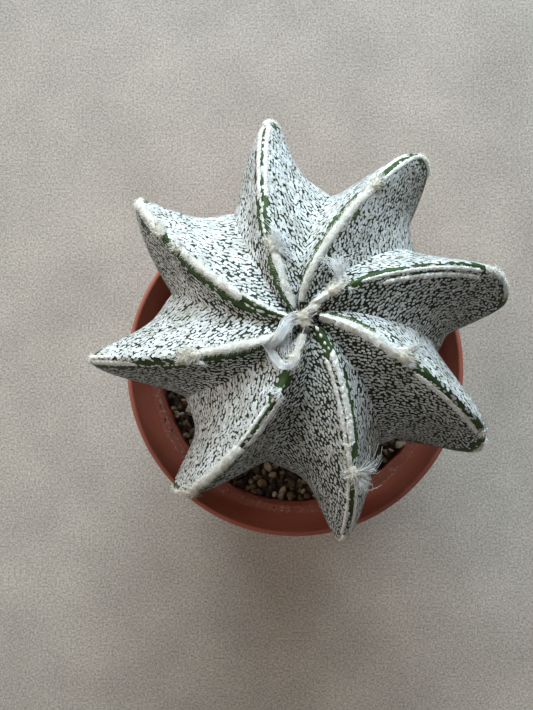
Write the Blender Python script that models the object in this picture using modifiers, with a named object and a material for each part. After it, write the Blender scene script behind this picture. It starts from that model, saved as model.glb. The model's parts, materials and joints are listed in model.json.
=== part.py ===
"""A potted star cactus: eight turning ribs, wool along their crests, gritty mix and a round plastic pot.

Units are metres and +Z is up. The origin is on the ground under the middle of the pot, and +Y is the
top of the picture when the plant is seen from above.
"""

import math
import random

import bmesh
import bpy
from mathutils import Matrix, Vector

MM = 0.001
COLLECTION_NAME = "potted_star_cactus"
CLEARANCE = 0.3

# Pot, in millimetres. The collar flares up to the lip, and a ledge inside marks its foot.
POT_RADIUS = 52.5
POT_HEIGHT = 86.0
POT_WALL = 1.6
COLLAR_HEIGHT = 18.0
COLLAR_FOOT_RADIUS = 48.3
BODY_TOP_RADIUS = 46.2
BASE_RADIUS = 36.5
FOOT_HEIGHT = 2.0
FOOT_WIDTH = 2.6
FOOT_NOTCH = (8.0, 6.0, 1.2)
PAD_RADIUS = 10.0
FLOOR_THICKNESS = 1.8
FLOOR_CORNER = 2.0
EDGE_ROUND = 0.5
LIP_ARC_POINTS = 6
POT_STEPS = 52
DRAIN_RADIUS = 3.6
DRAIN_CIRCLE = 22.0
DRAIN_HOLES = 8
DRAIN_SEGMENTS = 16

# Growing mix, in millimetres. Grains are sunk in its top, and the plant stands in a plain hole.
MIX_LEVEL = 64.4
GRAIN_RADIUS = (2.2, 3.2)
GRAIN_SPACING = 4.0
GRAIN_TRIES = 9000
GRAIN_SUNK = 0.25
GRAIN_STRETCH = ((0.85, 1.15), (0.8, 1.0), (0.7, 0.95))
GRAIN_TILT = 0.5
GRAIN_WALL_GAP = 0.45
GRAIN_PLANT_GAP = 1.3
MIX_STEPS = 40
HOLE_DEPTH = 19.0
HOLE_GAP = 0.5
HOLE_SEGMENTS = 48

# Plant, in millimetres and degrees. It grows out of a spot near the pot's middle and leans to +Y.
PLANT_FOOT = (1.0, 2.6, 65.0)
LEAN_SHIFT = (1.9, 8.6, 0.0)
LEAN_HEIGHT = 72.0
EQUATOR_HEIGHT = 52.0
CREST_RADIUS = 59.4
CREST_RISE = 36.0
CREST_DROP = 47.0
VALLEY_RADIUS = 38.0
VALLEY_RISE = 33.0
VALLEY_DROP = 41.0
TOP_LATITUDE = 87.0
FOOT_LATITUDE = -56.0
LATITUDE_ROWS = 32
FADE_LATITUDE = -32.0
FOOT_RIB_SHARE = 0.34
CROWN_DIP = 1.6
DIP_LATITUDE = 72.0
CROWN_CROWDING = 0.06
CREST_BLUNTNESS = 0.09
CREASE_SHARE = 0.32
FLANK_BOW = 2.6
LEADING_FLANK_BOW = 3.1
CROWN_FLANK_BOW = 1.5
BOW_LATITUDES = (30.0, 75.0)
TIP_BOW_GAIN = -0.6
LEADING_TIP_BOW_GAIN = 2.6
TIP_BOW_LATITUDE = 40.0
LOWER_BOW_GAIN = 0.5
LOWER_BOW_LATITUDE = -30.0
NECK_RADIUS = 22.0
ROOT_LENGTH = 17.0
ACROSS = (0.0, 0.07, 0.18, 0.34, 0.54, 0.76, 1.0)

# Rings under the ribs: mean radius, height over the foot, and how much of the ribs still shows.
FOOT_RINGS = (
    (23.6, 10.0, 0.70),
    (22.6, 4.5, 0.35),
    (NECK_RADIUS, 0.0, 0.0),
    (NECK_RADIUS, -11.0, 0.0),
    (17.0, -15.5, 0.0),
    (7.0, -ROOT_LENGTH, 0.0),
)

# The turn of the ribs. Each crest slants like a line of steady slope, measured by how far it has
# swung at the shoulder and beside the crown. Under the equator each swings on at its own slope.
SHOULDER_LATITUDE = 60.0
CROWN_LATITUDE = 83.0

# One row for each rib, clockwise from the top of the picture: the tip's direction, its reach as a
# share of CREST_RADIUS, the swing at shoulder, crown and under the equator, and the latitudes of its
# thick wool tufts.
RIBS = (
    (98.5, 1.00, 11.0, 31.0, 14.0, (68.0,)),
    (54.0, 0.995, 12.5, 37.0, 12.0, (46.0,)),
    (10.5, 0.98, 15.0, 34.0, 8.0, (77.0, 30.0)),
    (-32.0, 1.01, 9.5, 29.0, 11.0, (62.0,)),
    (-79.5, 1.01, 12.5, 36.0, 8.0, (70.0, 47.0)),
    (-128.5, 0.98, 15.0, 32.0, 10.0, (80.0, 23.0)),
    (-173.5, 1.025, 10.0, 30.0, 20.0, (60.0,)),
    (-218.5, 0.995, 11.5, 30.0, 16.0, (50.0,)),
)

# Crest wool, in millimetres: one felt star that covers the crown and runs out along every crest.
WOOL_GAP = 0.45
WOOL_TOP_LATITUDE = 84.0
WOOL_END_LATITUDE = -4.0
WOOL_ROWS = 17
WOOL_INNER_WIDTH = 3.8
WOOL_TIP_WIDTH = 2.2
WOOL_THICKNESS = 0.65
TUFT_THICKNESS = 2.0
TUFT_LENGTH = 4.5
CROWN_WOOL_THICKNESS = 2.0
CROWN_WOOL_LATITUDES = (76.0, 86.0)
CROWN_WOOL_RISE = 0.25
WOOL_ACROSS = (-1.0, -0.5, 0.0, 0.5, 1.0)
WOOL_WIDEST_SHARE = 0.6
WOOL_END_TAPER = 0.45

SEED = 8


def make_material(name, colour, roughness):
    """A plain Principled finish for one part."""
    material = bpy.data.materials.new(name)
    material.use_nodes = True
    shader = material.node_tree.nodes["Principled BSDF"]
    shader.inputs["Base Color"].default_value = (*colour, 1.0)
    shader.inputs["Roughness"].default_value = roughness
    shader.inputs["Metallic"].default_value = 0.0
    material.diffuse_color = (*colour, 1.0)
    return material


def add_object(name, mesh, collection, material=None):
    """Link a mesh as one named object."""
    item = bpy.data.objects.new(name, mesh)
    collection.objects.link(item)
    if material:
        mesh.materials.append(material)
    return item


def scaled_mesh(name, vertices, faces=(), edges=()):
    """A mesh from points given in millimetres."""
    mesh = bpy.data.meshes.new(name)
    mesh.from_pydata([tuple(c * MM for c in v) for v in vertices], list(edges), list(faces))
    mesh.update()
    return mesh


def turned(name, profile, steps, collection, material):
    """Turn an outline of (radius, height) points, with both ends on the axis, about the pot's axis."""
    points = [(radius, 0.0, height) for radius, height in profile]
    edges = [(i, i + 1) for i in range(len(points) - 1)]
    item = add_object(name, scaled_mesh(name, points, edges=edges), collection)
    screw = item.modifiers.new("Turn", "SCREW")
    screw.steps = steps
    screw.render_steps = steps
    screw.use_merge_vertices = True
    screw.merge_threshold = 0.00001
    apply_modifiers(item, material)
    return item


def evaluated_copy(item):
    """The item's mesh with its modifiers applied."""
    graph = bpy.context.evaluated_depsgraph_get()
    return bpy.data.meshes.new_from_object(item.evaluated_get(graph))


def apply_modifiers(item, material):
    """Replace the item's mesh by its evaluated one, in one material."""
    mesh = evaluated_copy(item)
    item.modifiers.clear()
    mesh.materials.clear()
    mesh.materials.append(material)
    item.data = mesh


def shade_round(item, angle=38.0):
    """Smooth shading with the sharp edges kept."""
    item.data.shade_smooth()
    item.data.set_sharp_from_angle(angle=math.radians(angle))


def wall_radius(height, offset=0.0):
    """Radius of the lower wall's outside at a height, moved inward by an offset."""
    share = height / (POT_HEIGHT - COLLAR_HEIGHT)
    return BASE_RADIUS + (BODY_TOP_RADIUS - BASE_RADIUS) * share - offset


def pot_profile():
    """Outline of the pot from its floor up the inside, over the lip and down to the pad below."""
    collar_foot = POT_HEIGHT - COLLAR_HEIGHT
    floor_top = FOOT_HEIGHT + FLOOR_THICKNESS
    slope = (POT_RADIUS - COLLAR_FOOT_RADIUS) / COLLAR_HEIGHT
    ledge = collar_foot + POT_WALL
    ledge_radius = COLLAR_FOOT_RADIUS - POT_WALL + slope * POT_WALL
    inside = [
        (0.0, floor_top),
        (wall_radius(floor_top, POT_WALL) - FLOOR_CORNER, floor_top),
        (wall_radius(floor_top + FLOOR_CORNER, POT_WALL), floor_top + FLOOR_CORNER),
        (wall_radius(collar_foot, POT_WALL), ledge - EDGE_ROUND),
        (wall_radius(collar_foot, POT_WALL) + EDGE_ROUND, ledge),
        (ledge_radius - EDGE_ROUND, ledge),
        (ledge_radius + slope * EDGE_ROUND, ledge + EDGE_ROUND),
    ]
    half = POT_WALL / 2.0
    lip = []
    for step in range(LIP_ARC_POINTS):
        turn = math.pi * step / (LIP_ARC_POINTS - 1)
        lip.append((POT_RADIUS - half - half * math.cos(turn), POT_HEIGHT - half + half * math.sin(turn)))
    outside = [
        (COLLAR_FOOT_RADIUS + slope * EDGE_ROUND, collar_foot + EDGE_ROUND),
        (COLLAR_FOOT_RADIUS - EDGE_ROUND, collar_foot),
        (wall_radius(collar_foot), collar_foot),
        (wall_radius(2.0 * EDGE_ROUND), 2.0 * EDGE_ROUND),
        (wall_radius(0.0) - EDGE_ROUND, 0.0),
    ]
    underside = [
        (BASE_RADIUS - FOOT_WIDTH, 0.0),
        (BASE_RADIUS - FOOT_WIDTH - EDGE_ROUND, FOOT_HEIGHT),
        (PAD_RADIUS + EDGE_ROUND, FOOT_HEIGHT),
        (PAD_RADIUS, 0.0),
        (0.0, 0.0),
    ]
    return inside + lip + outside + underside


def add_cutter(name, place, cutters, cylinder=None):
    """A guide shape for a cut: a cylinder of (radius, depth, segments), or a unit cube."""
    mesh = bpy.data.meshes.new(name)
    shape = bmesh.new()
    if cylinder:
        radius, depth, segments = cylinder
        bmesh.ops.create_cone(
            shape, cap_ends=True, segments=segments, radius1=radius, radius2=radius, depth=depth
        )
    else:
        bmesh.ops.create_cube(shape, size=1.0)
    shape.transform(Matrix.Scale(MM, 4) @ place)
    shape.to_mesh(mesh)
    shape.free()
    item = add_object(name, mesh, cutters)
    item.hide_render = True
    item.display_type = "WIRE"
    return item


def make_pot(parts, cutters):
    """Round plastic pot with a flared collar, drain holes, a centre pad and a notched foot ring."""
    finish = make_material("pot_plastic", (0.19, 0.052, 0.034), 0.42)
    pot = turned("pot", pot_profile(), POT_STEPS, parts, finish)
    drain = (DRAIN_RADIUS, 3.0 * FLOOR_THICKNESS, DRAIN_SEGMENTS)
    floor_middle = Matrix.Translation((DRAIN_CIRCLE, 0.0, FOOT_HEIGHT + FLOOR_THICKNESS / 2.0))
    foot_middle = Matrix.Translation((BASE_RADIUS - FOOT_WIDTH / 2.0, 0.0, 0.0))
    notch = foot_middle @ Matrix.Diagonal((*FOOT_NOTCH, 1.0))
    for index in range(DRAIN_HOLES):
        turn = Matrix.Rotation(2.0 * math.pi * index / DRAIN_HOLES, 4, "Z")
        add_cutter(f"drain_cutter_{index + 1}", turn @ floor_middle, cutters, drain)
        if index % 2:
            add_cutter(f"notch_cutter_{index + 1}", turn @ notch, cutters)
    cut = pot.modifiers.new("Drain holes and notches", "BOOLEAN")
    cut.operation = "DIFFERENCE"
    cut.operand_type = "COLLECTION"
    cut.collection = cutters
    shade_round(pot)


def blend(low, high, share):
    """A value between two others, eased at both ends."""
    share = min(max(share, 0.0), 1.0)
    return low + (high - low) * share * share * (3.0 - 2.0 * share)


def grown(point):
    """Move a point from the plant's own axis to its leaning place in the pot."""
    share = blend(0.0, 1.0, point.z / LEAN_HEIGHT)
    return point + Vector(PLANT_FOOT) + Vector(LEAN_SHIFT) * share


def spread(latitude):
    """How far a line of steady slope has gone round the axis at a latitude above the equator."""
    turn = math.radians(latitude)
    return math.log(1.0 / math.cos(turn) + math.tan(turn))


def crest_angle(rib, latitude):
    """Direction of a rib's crest about the axis, in degrees."""
    tip, _, shoulder, crown, lower, _ = RIBS[rib % len(RIBS)]
    if latitude < 0.0:
        return tip - lower * spread(-latitude)
    power = math.log(crown / shoulder) / math.log(spread(CROWN_LATITUDE) / spread(SHOULDER_LATITUDE))
    return tip + shoulder * (spread(latitude) / spread(SHOULDER_LATITUDE)) ** power


def crest_share(across, latitude):
    """How near the surface is to the crest, from 1 there to 0 in the valley on either side."""
    rounded = math.sqrt(across ** 2 + CREST_BLUNTNESS ** 2) - CREST_BLUNTNESS
    rounded /= math.sqrt(1.0 + CREST_BLUNTNESS ** 2) - CREST_BLUNTNESS
    low, high = BOW_LATITUDES
    bow = LEADING_FLANK_BOW if across > 0.0 else FLANK_BOW
    gain = LEADING_TIP_BOW_GAIN if across > 0.0 else TIP_BOW_GAIN
    bow = blend(bow, CROWN_FLANK_BOW, (latitude - low) / (high - low))
    bow += blend(gain, 0.0, latitude / TIP_BOW_LATITUDE)
    bow += blend(0.0, LOWER_BOW_GAIN, latitude / LOWER_BOW_LATITUDE)
    fade = blend(FOOT_RIB_SHARE, 1.0, (latitude - FOOT_LATITUDE) / (FADE_LATITUDE - FOOT_LATITUDE))
    return fade * ((1.0 - CREASE_SHARE) * (1.0 - rounded) ** bow + CREASE_SHARE * (1.0 - rounded))


def surface_point(rib, across, latitude):
    """Point on the plant: across is 0 on the rib's crest, and 1 or -1 in the valley after or before it."""
    rib %= len(RIBS)
    neighbour = (rib + (1 if across >= 0.0 else -1)) % len(RIBS)
    width = abs(across)
    first = crest_angle(rib, latitude)
    second = crest_angle(neighbour, latitude)
    second += 360.0 * round((first - second) / 360.0)
    turn = math.radians(first + (second - first) * width / 2.0)
    reach = RIBS[rib][1] + (RIBS[neighbour][1] - RIBS[rib][1]) * width / 2.0
    share = crest_share(across, latitude)
    crest_rise, valley_rise = (CREST_RISE, VALLEY_RISE) if latitude > 0.0 else (CREST_DROP, VALLEY_DROP)
    tilt = math.radians(latitude)
    radius = math.cos(tilt) * (VALLEY_RADIUS + (CREST_RADIUS - VALLEY_RADIUS) * share)
    radius *= 1.0 + (reach - 1.0) * math.cos(tilt)
    height = EQUATOR_HEIGHT + math.sin(tilt) * (valley_rise + (crest_rise - valley_rise) * share)
    height -= CROWN_DIP * blend(0.0, 1.0, (latitude - DIP_LATITUDE) / (90.0 - DIP_LATITUDE)) ** 2
    return Vector((radius * math.cos(turn), radius * math.sin(turn), height))


def latitude_rows():
    """Latitudes of the rings, a little closer together towards the crown."""
    rows = []
    for row in range(LATITUDE_ROWS):
        share = row / (LATITUDE_ROWS - 1)
        share = (1.0 - CROWN_CROWDING) * share + CROWN_CROWDING * share ** 3
        rows.append(TOP_LATITUDE + (FOOT_LATITUDE - TOP_LATITUDE) * share)
    return rows


def body_rings():
    """Rings of points on the plant's own axis, from beside the crown to the end of the root."""
    columns = []
    for rib in range(len(RIBS)):
        columns += [(rib, across) for across in ACROSS]
        columns += [(rib + 1, -across) for across in reversed(ACROSS[1:-1])]
    rings = []
    for latitude in latitude_rows():
        rings.append([surface_point(rib, across, latitude) for rib, across in columns])
    last = rings[-1]
    mean = sum(point.xy.length for point in last) / len(last)
    for radius, height, ribbing in FOOT_RINGS:
        ring = []
        for point in last:
            turn = math.atan2(point.y, point.x)
            out = radius * (1.0 + ribbing * (point.xy.length / mean - 1.0))
            ring.append(Vector((out * math.cos(turn), out * math.sin(turn), height)))
        rings.append(ring)
    return rings


def make_cactus(parts):
    """The plant's body, grown as one piece: a loft of ribbed rings."""
    rings = body_rings()
    count = len(rings[0])
    vertices = [grown(point) for ring in rings for point in ring]
    faces = []
    for row in range(len(rings) - 1):
        for column in range(count):
            beside = (column + 1) % count
            start = row * count
            below = start + count
            faces.append((start + column, start + beside, below + column))
            faces.append((start + beside, below + beside, below + column))
    top = len(vertices)
    vertices.append(grown(Vector((0.0, 0.0, EQUATOR_HEIGHT + VALLEY_RISE - CROWN_DIP))))
    vertices.append(grown(Vector((0.0, 0.0, -ROOT_LENGTH))))
    bottom = (len(rings) - 1) * count
    for column in range(count):
        beside = (column + 1) % count
        faces.append((top, beside, column))
        faces.append((top + 1, bottom + column, bottom + beside))
    finish = make_material("skin", (0.22, 0.26, 0.21), 0.7)
    cactus = add_object("cactus", scaled_mesh("cactus", vertices, faces), parts, finish)
    shade_round(cactus, 60.0)


def tuft_share(rib, latitude):
    """Thickness of the wool as a share of the thickest tuft."""
    extra = 0.0
    for tuft in RIBS[rib][5]:
        distance = math.radians(latitude - tuft) * CREST_RADIUS / TUFT_LENGTH
        extra = max(extra, math.exp(-distance ** 2))
    thin = WOOL_THICKNESS / TUFT_THICKNESS
    low, high = CROWN_WOOL_LATITUDES
    crown = blend(0.0, CROWN_WOOL_THICKNESS / TUFT_THICKNESS, (latitude - low) / (high - low))
    return max(thin + (1.0 - thin) * extra, crown)


def wool_sheet():
    """Corner points, thickness shares and faces of the felt star, flat on the plant's skin."""
    span = WOOL_END_LATITUDE - WOOL_TOP_LATITUDE
    vertices = []
    shares = []
    faces = []
    rim = []
    wide = len(WOOL_ACROSS)
    half_rib = math.pi / len(RIBS)
    for rib in range(len(RIBS)):
        start = len(vertices)
        rim += range(start, start + wide)
        for row in range(WOOL_ROWS):
            along = row / (WOOL_ROWS - 1)
            latitude = WOOL_TOP_LATITUDE + span * along
            spacing = half_rib * CREST_RADIUS * math.cos(math.radians(latitude))
            half = (WOOL_INNER_WIDTH + (WOOL_TIP_WIDTH - WOOL_INNER_WIDTH) * along) / 2.0
            if row == WOOL_ROWS - 1:
                half *= WOOL_END_TAPER
            reach = min(half / spacing, WOOL_WIDEST_SHARE)
            vertices += [surface_point(rib, across * reach, latitude) for across in WOOL_ACROSS]
            shares += [tuft_share(rib, latitude)] * wide
        for row in range(WOOL_ROWS - 1):
            for column in range(wide - 1):
                first = start + row * wide + column
                faces.append((first, first + 1, first + wide + 1, first + wide))
    top = max(vertices[index].z for index in rim) + CROWN_WOOL_RISE
    inner = len(vertices)
    vertices += [Vector((vertices[index].x / 2.0, vertices[index].y / 2.0, top)) for index in rim]
    centre = len(vertices)
    vertices.append(Vector((0.0, 0.0, top)))
    shares += [CROWN_WOOL_THICKNESS / TUFT_THICKNESS] * (len(rim) + 1)
    for position, index in enumerate(rim):
        beside = (position + 1) % len(rim)
        faces.append((inner + position, inner + beside, rim[beside], index))
        faces.append((centre, inner + beside, inner + position))
    return [grown(point) for point in vertices], shares, faces


def make_crest_wool(parts):
    """Felt star over the crown and crests, thicker at the tufts, in one piece."""
    vertices, shares, faces = wool_sheet()
    mesh = scaled_mesh("crest_wool", vertices, faces)
    shape = bmesh.new()
    shape.from_mesh(mesh)
    shape.normal_update()
    for vertex in shape.verts:
        vertex.co += vertex.normal * WOOL_GAP * MM
    shape.to_mesh(mesh)
    shape.free()
    wool = add_object("crest_wool", mesh, parts, make_material("wool", (0.78, 0.74, 0.64), 0.95))
    group = wool.vertex_groups.new(name="thickness")
    for index, share in enumerate(shares):
        group.add([index], share, "REPLACE")
    shell = wool.modifiers.new("Felt", "SOLIDIFY")
    shell.thickness = TUFT_THICKNESS * MM
    shell.offset = 1.0
    shell.use_even_offset = False
    shell.use_rim = True
    shell.vertex_group = "thickness"


def mix_profile():
    """Outline of the mix from its top to its underside, a small gap inside the pot's wall and floor."""
    floor = FOOT_HEIGHT + FLOOR_THICKNESS + CLEARANCE
    gap = POT_WALL + CLEARANCE
    corner = FLOOR_CORNER + CLEARANCE
    return [
        (0.0, MIX_LEVEL),
        (wall_radius(MIX_LEVEL, gap), MIX_LEVEL),
        (wall_radius(floor + corner, gap), floor + corner),
        (wall_radius(floor, gap) - corner, floor),
        (0.0, floor),
    ]


def grain_places(draw):
    """Places and radii of the grains, none closer than the spacing, outside the plant's hole."""
    hole = Vector(PLANT_FOOT)
    limit = wall_radius(MIX_LEVEL, POT_WALL)
    places = []
    for _ in range(GRAIN_TRIES):
        radius = draw.uniform(*GRAIN_RADIUS)
        turn = draw.uniform(0.0, 2.0 * math.pi)
        out = limit * math.sqrt(draw.random())
        spot = Vector((out * math.cos(turn), out * math.sin(turn), 0.0))
        near_wall = out + radius + GRAIN_WALL_GAP > limit
        near_plant = (spot.xy - hole.xy).length < NECK_RADIUS + HOLE_GAP + radius + GRAIN_PLANT_GAP
        crowded = any((spot - other).length < GRAIN_SPACING for other, _ in places)
        if near_wall or near_plant or crowded:
            continue
        places.append((spot, radius))
    return places


def make_grains(draw):
    """A collection of loose grains, half sunk in the top of the mix."""
    grains = bpy.data.collections.new("grains")
    bpy.context.scene.collection.children.link(grains)
    for spot, radius in grain_places(draw):
        mesh = bpy.data.meshes.new("grain")
        shape = bmesh.new()
        bmesh.ops.create_icosphere(shape, subdivisions=1, radius=radius)
        stretch = [draw.uniform(*limits) for limits in GRAIN_STRETCH]
        tilt = Matrix.Rotation(draw.uniform(-GRAIN_TILT, GRAIN_TILT), 4, "X")
        turn = Matrix.Rotation(draw.uniform(0.0, math.pi), 4, "Z")
        place = Matrix.Translation((spot.x, spot.y, MIX_LEVEL - radius * GRAIN_SUNK))
        shape.transform(Matrix.Scale(MM, 4) @ place @ turn @ tilt @ Matrix.Diagonal((*stretch, 1.0)))
        shape.to_mesh(mesh)
        shape.free()
        add_object("grain", mesh, grains)
    return grains


def make_growing_mix(parts, cutters):
    """Gritty mix that fills the pot, with grains on top and a plain hole for the plant."""
    finish = make_material("grit", (0.33, 0.26, 0.19), 0.9)
    mix = turned("growing_mix", mix_profile(), MIX_STEPS, parts, finish)
    grains = make_grains(random.Random(SEED))
    join = mix.modifiers.new("Grains", "BOOLEAN")
    join.operation = "UNION"
    join.operand_type = "COLLECTION"
    join.collection = grains
    apply_modifiers(mix, finish)
    for item in list(grains.objects):
        bpy.data.objects.remove(item)
    bpy.data.collections.remove(grains)
    middle = Matrix.Translation(Vector(PLANT_FOOT) + Vector((0.0, 0.0, HOLE_DEPTH / 2.0)))
    hole = (NECK_RADIUS + HOLE_GAP, 3.0 * HOLE_DEPTH, HOLE_SEGMENTS)
    cut = mix.modifiers.new("Plant hole", "BOOLEAN")
    cut.operation = "DIFFERENCE"
    cut.object = add_cutter("plant_hole_cutter", middle, cutters, hole)


def build():
    """Clear the scene and make every piece."""
    for item in list(bpy.data.objects):
        bpy.data.objects.remove(item)
    parts = bpy.data.collections.new(COLLECTION_NAME)
    drains = bpy.data.collections.new("drain_cutters")
    cutters = bpy.data.collections.new("cutters")
    for collection in (parts, drains, cutters):
        bpy.context.scene.collection.children.link(collection)
    make_pot(parts, drains)
    make_growing_mix(parts, cutters)
    make_cactus(parts)
    make_crest_wool(parts)


build()
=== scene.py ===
import json
import math
import random
from collections import namedtuple
from contextlib import contextmanager

import bmesh
import bpy
import numpy as np
from mathutils import Matrix, Vector, noise

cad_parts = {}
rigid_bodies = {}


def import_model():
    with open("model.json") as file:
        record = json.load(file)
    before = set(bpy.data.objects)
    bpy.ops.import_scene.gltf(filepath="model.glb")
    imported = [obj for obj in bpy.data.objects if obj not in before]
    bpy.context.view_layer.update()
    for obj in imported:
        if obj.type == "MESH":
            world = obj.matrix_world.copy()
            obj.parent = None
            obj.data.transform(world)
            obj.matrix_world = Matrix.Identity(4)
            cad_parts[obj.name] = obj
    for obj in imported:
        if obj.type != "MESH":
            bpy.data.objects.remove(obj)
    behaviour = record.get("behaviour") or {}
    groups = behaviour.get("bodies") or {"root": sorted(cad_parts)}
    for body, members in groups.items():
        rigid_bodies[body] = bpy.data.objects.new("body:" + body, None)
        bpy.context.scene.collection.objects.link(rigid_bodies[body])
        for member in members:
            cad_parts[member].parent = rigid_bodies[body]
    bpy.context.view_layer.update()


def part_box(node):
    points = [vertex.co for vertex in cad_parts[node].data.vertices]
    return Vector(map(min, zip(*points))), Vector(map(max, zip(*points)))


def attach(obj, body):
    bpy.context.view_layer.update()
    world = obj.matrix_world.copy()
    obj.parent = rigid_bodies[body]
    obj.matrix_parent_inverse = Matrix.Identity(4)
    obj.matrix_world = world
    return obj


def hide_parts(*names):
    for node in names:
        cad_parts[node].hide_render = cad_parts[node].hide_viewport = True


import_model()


# Pot: one moulding in terracotta-coloured plastic, with a flared collar and a rounded lip. Its colour is
# painted lighter than the plastic's own, as painted light on its walls and collar. Inside, a ledge marks
# the collar's foot and holds dust and fine grit, with painted shade in its corner. It stands on a notched
# foot ring and a pad.
MM = 0.001
POT_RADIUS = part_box("pot")[1][0]
POT_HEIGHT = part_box("pot")[1][2]
POT_WALL = 1.6 * MM
COLLAR_HEIGHT = 18.0 * MM
COLLAR_FOOT_RADIUS = 48.3 * MM
BODY_TOP_RADIUS = 46.2 * MM
BASE_RADIUS = 36.5 * MM
FOOT_HEIGHT = 2.0 * MM
FOOT_WIDTH = 2.6 * MM
FOOT_DRAFT = 0.4 * MM
FOOT_NOTCH = (8.0 * MM, 6.0 * MM, 1.2 * MM)
PAD_RADIUS = 10.0 * MM
FLOOR_THICKNESS = 1.8 * MM
INNER_CORNERS = 0.9 * MM
OUTER_CORNERS = 0.6 * MM
DRAIN_RADIUS = 3.6 * MM
DRAIN_CIRCLE = 22.0 * MM
DRAIN_HOLES = 8
POT_STEPS = 144
LIP_STEPS = 9
LEDGE_HEIGHT = POT_HEIGHT - COLLAR_HEIGHT + POT_WALL
# Round the ledge the pot is drawn darker, as painted shade in its corner, and bears pale specks of dust.
LEDGE_SHADE_AND_DUST_MIDDLE = LEDGE_HEIGHT - 0.4 * MM
LEDGE_SHADE_AND_DUST_REACH = (2.6 * MM, 0.2 * MM)
LEDGE_SHADE_AND_DUST_RADIUS = COLLAR_FOOT_RADIUS - 0.6 * MM


class Reading:
    """One output of a node, so that sums in a finish or a shape read as plain sums."""

    def __init__(self, nodes, socket):
        self.nodes = nodes
        self.socket = socket

    def output(self, name):
        """Another output of the same node."""
        return Reading(self.nodes, self.socket.node.outputs[name])

    def worked(self, operation, *others):
        return self.nodes.step("ShaderNodeMath", dict(enumerate((self, *others))), operation=operation)

    def __add__(self, other):
        return self.worked("ADD", other)

    def __sub__(self, other):
        return self.worked("SUBTRACT", other)

    def __rsub__(self, other):
        return self.worked("MULTIPLY", -1.0) + other

    def __mul__(self, other):
        return self.worked("MULTIPLY", other)

    def __truediv__(self, other):
        return self.worked("DIVIDE", other)

    def __pow__(self, other):
        return self.worked("POWER", other)

    def least(self, low):
        return self.worked("MAXIMUM", low)

    def most(self, high):
        return self.worked("MINIMUM", high)

    def ranged(self, start, end, low=0.0, high=1.0, way="LINEAR"):
        """Low to high while this number goes from start to end."""
        values = {"Value": self, "From Min": start, "From Max": end, "To Min": low, "To Max": high}
        return self.nodes.step("ShaderNodeMapRange", values, interpolation_type=way)

    def eased(self, start, end, low=0.0, high=1.0):
        """Low to high, eased at both ends, while this number goes from start to end."""
        return self.ranged(start, end, low, high, "SMOOTHSTEP")


class Nodes:
    """A tree of nodes that is built step by step."""

    def __init__(self, tree):
        self.tree = tree

    def fill(self, socket, value):
        """Give an input a number, a colour or a reading."""
        if isinstance(value, Reading):
            self.tree.links.new(value.socket, socket)
        else:
            socket.default_value = value

    def step(self, kind, values=None, output=0, **settings):
        """One more node, read at one of its outputs."""
        node = self.tree.nodes.new(kind)
        for name, value in settings.items():
            setattr(node, name, value)
        for place, value in (values or {}).items():
            self.fill(node.inputs[place], value)
        return Reading(self, node.outputs[output])


class Finish(Nodes):
    """A material whose patterns lie on the piece's own coordinates, in metres."""

    def __init__(self, name, roughness, specular):
        self.material = bpy.data.materials.new(name)
        self.material.use_nodes = True
        super().__init__(self.material.node_tree)
        self.shader = self.tree.nodes["Principled BSDF"]
        self.shader.inputs["Roughness"].default_value = roughness
        self.shader.inputs["Specular IOR Level"].default_value = specular
        self.place = self.step("ShaderNodeTexCoord", output="Object")

    def height(self):
        return self.step("ShaderNodeSeparateXYZ", {"Vector": self.place}, "Z")

    def mark(self, name):
        """A number that the mesh holds at each point."""
        return self.step("ShaderNodeAttribute", output="Fac", attribute_name=name)

    def grain(self, scale, detail=3.0, roughness=0.55):
        """A cloudy pattern, from 0 to 1, with features of one metre over the scale."""
        values = {"Vector": self.place, "Scale": scale, "Detail": detail, "Roughness": roughness}
        return self.step("ShaderNodeTexNoise", values)

    def ramp(self, factor, *stops):
        """A colour that follows a factor through (position, colour or grey) stops."""
        step = self.step("ShaderNodeValToRGB", {"Fac": factor})
        elements = step.socket.node.color_ramp.elements
        while len(elements) < len(stops):
            elements.new(0.5)
        for element, (position, colour) in zip(elements, stops):
            element.position = position
            element.color = (*colour, 1.0) if isinstance(colour, tuple) else (colour, colour, colour, 1.0)
        return step

    def mixed(self, factor, first, second, blend="MIX"):
        """One colour over another, by a factor."""
        second = second if isinstance(second, Reading) else (*second, 1.0)
        values = {"Factor": factor, 6: first, 7: second}
        return self.step("ShaderNodeMix", values, 2, data_type="RGBA", blend_type=blend)

    def finished(self, colour, relief=None, roughness=None):
        """The material, with its colour, its relief (pattern, strength, depth) and its roughness."""
        self.fill(self.shader.inputs["Base Color"], colour)
        if relief:
            values = dict(zip(("Height", "Strength", "Distance"), relief))
            self.fill(self.shader.inputs["Normal"], self.step("ShaderNodeBump", values))
        if roughness:
            self.fill(self.shader.inputs["Roughness"], roughness)
        return self.material


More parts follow.
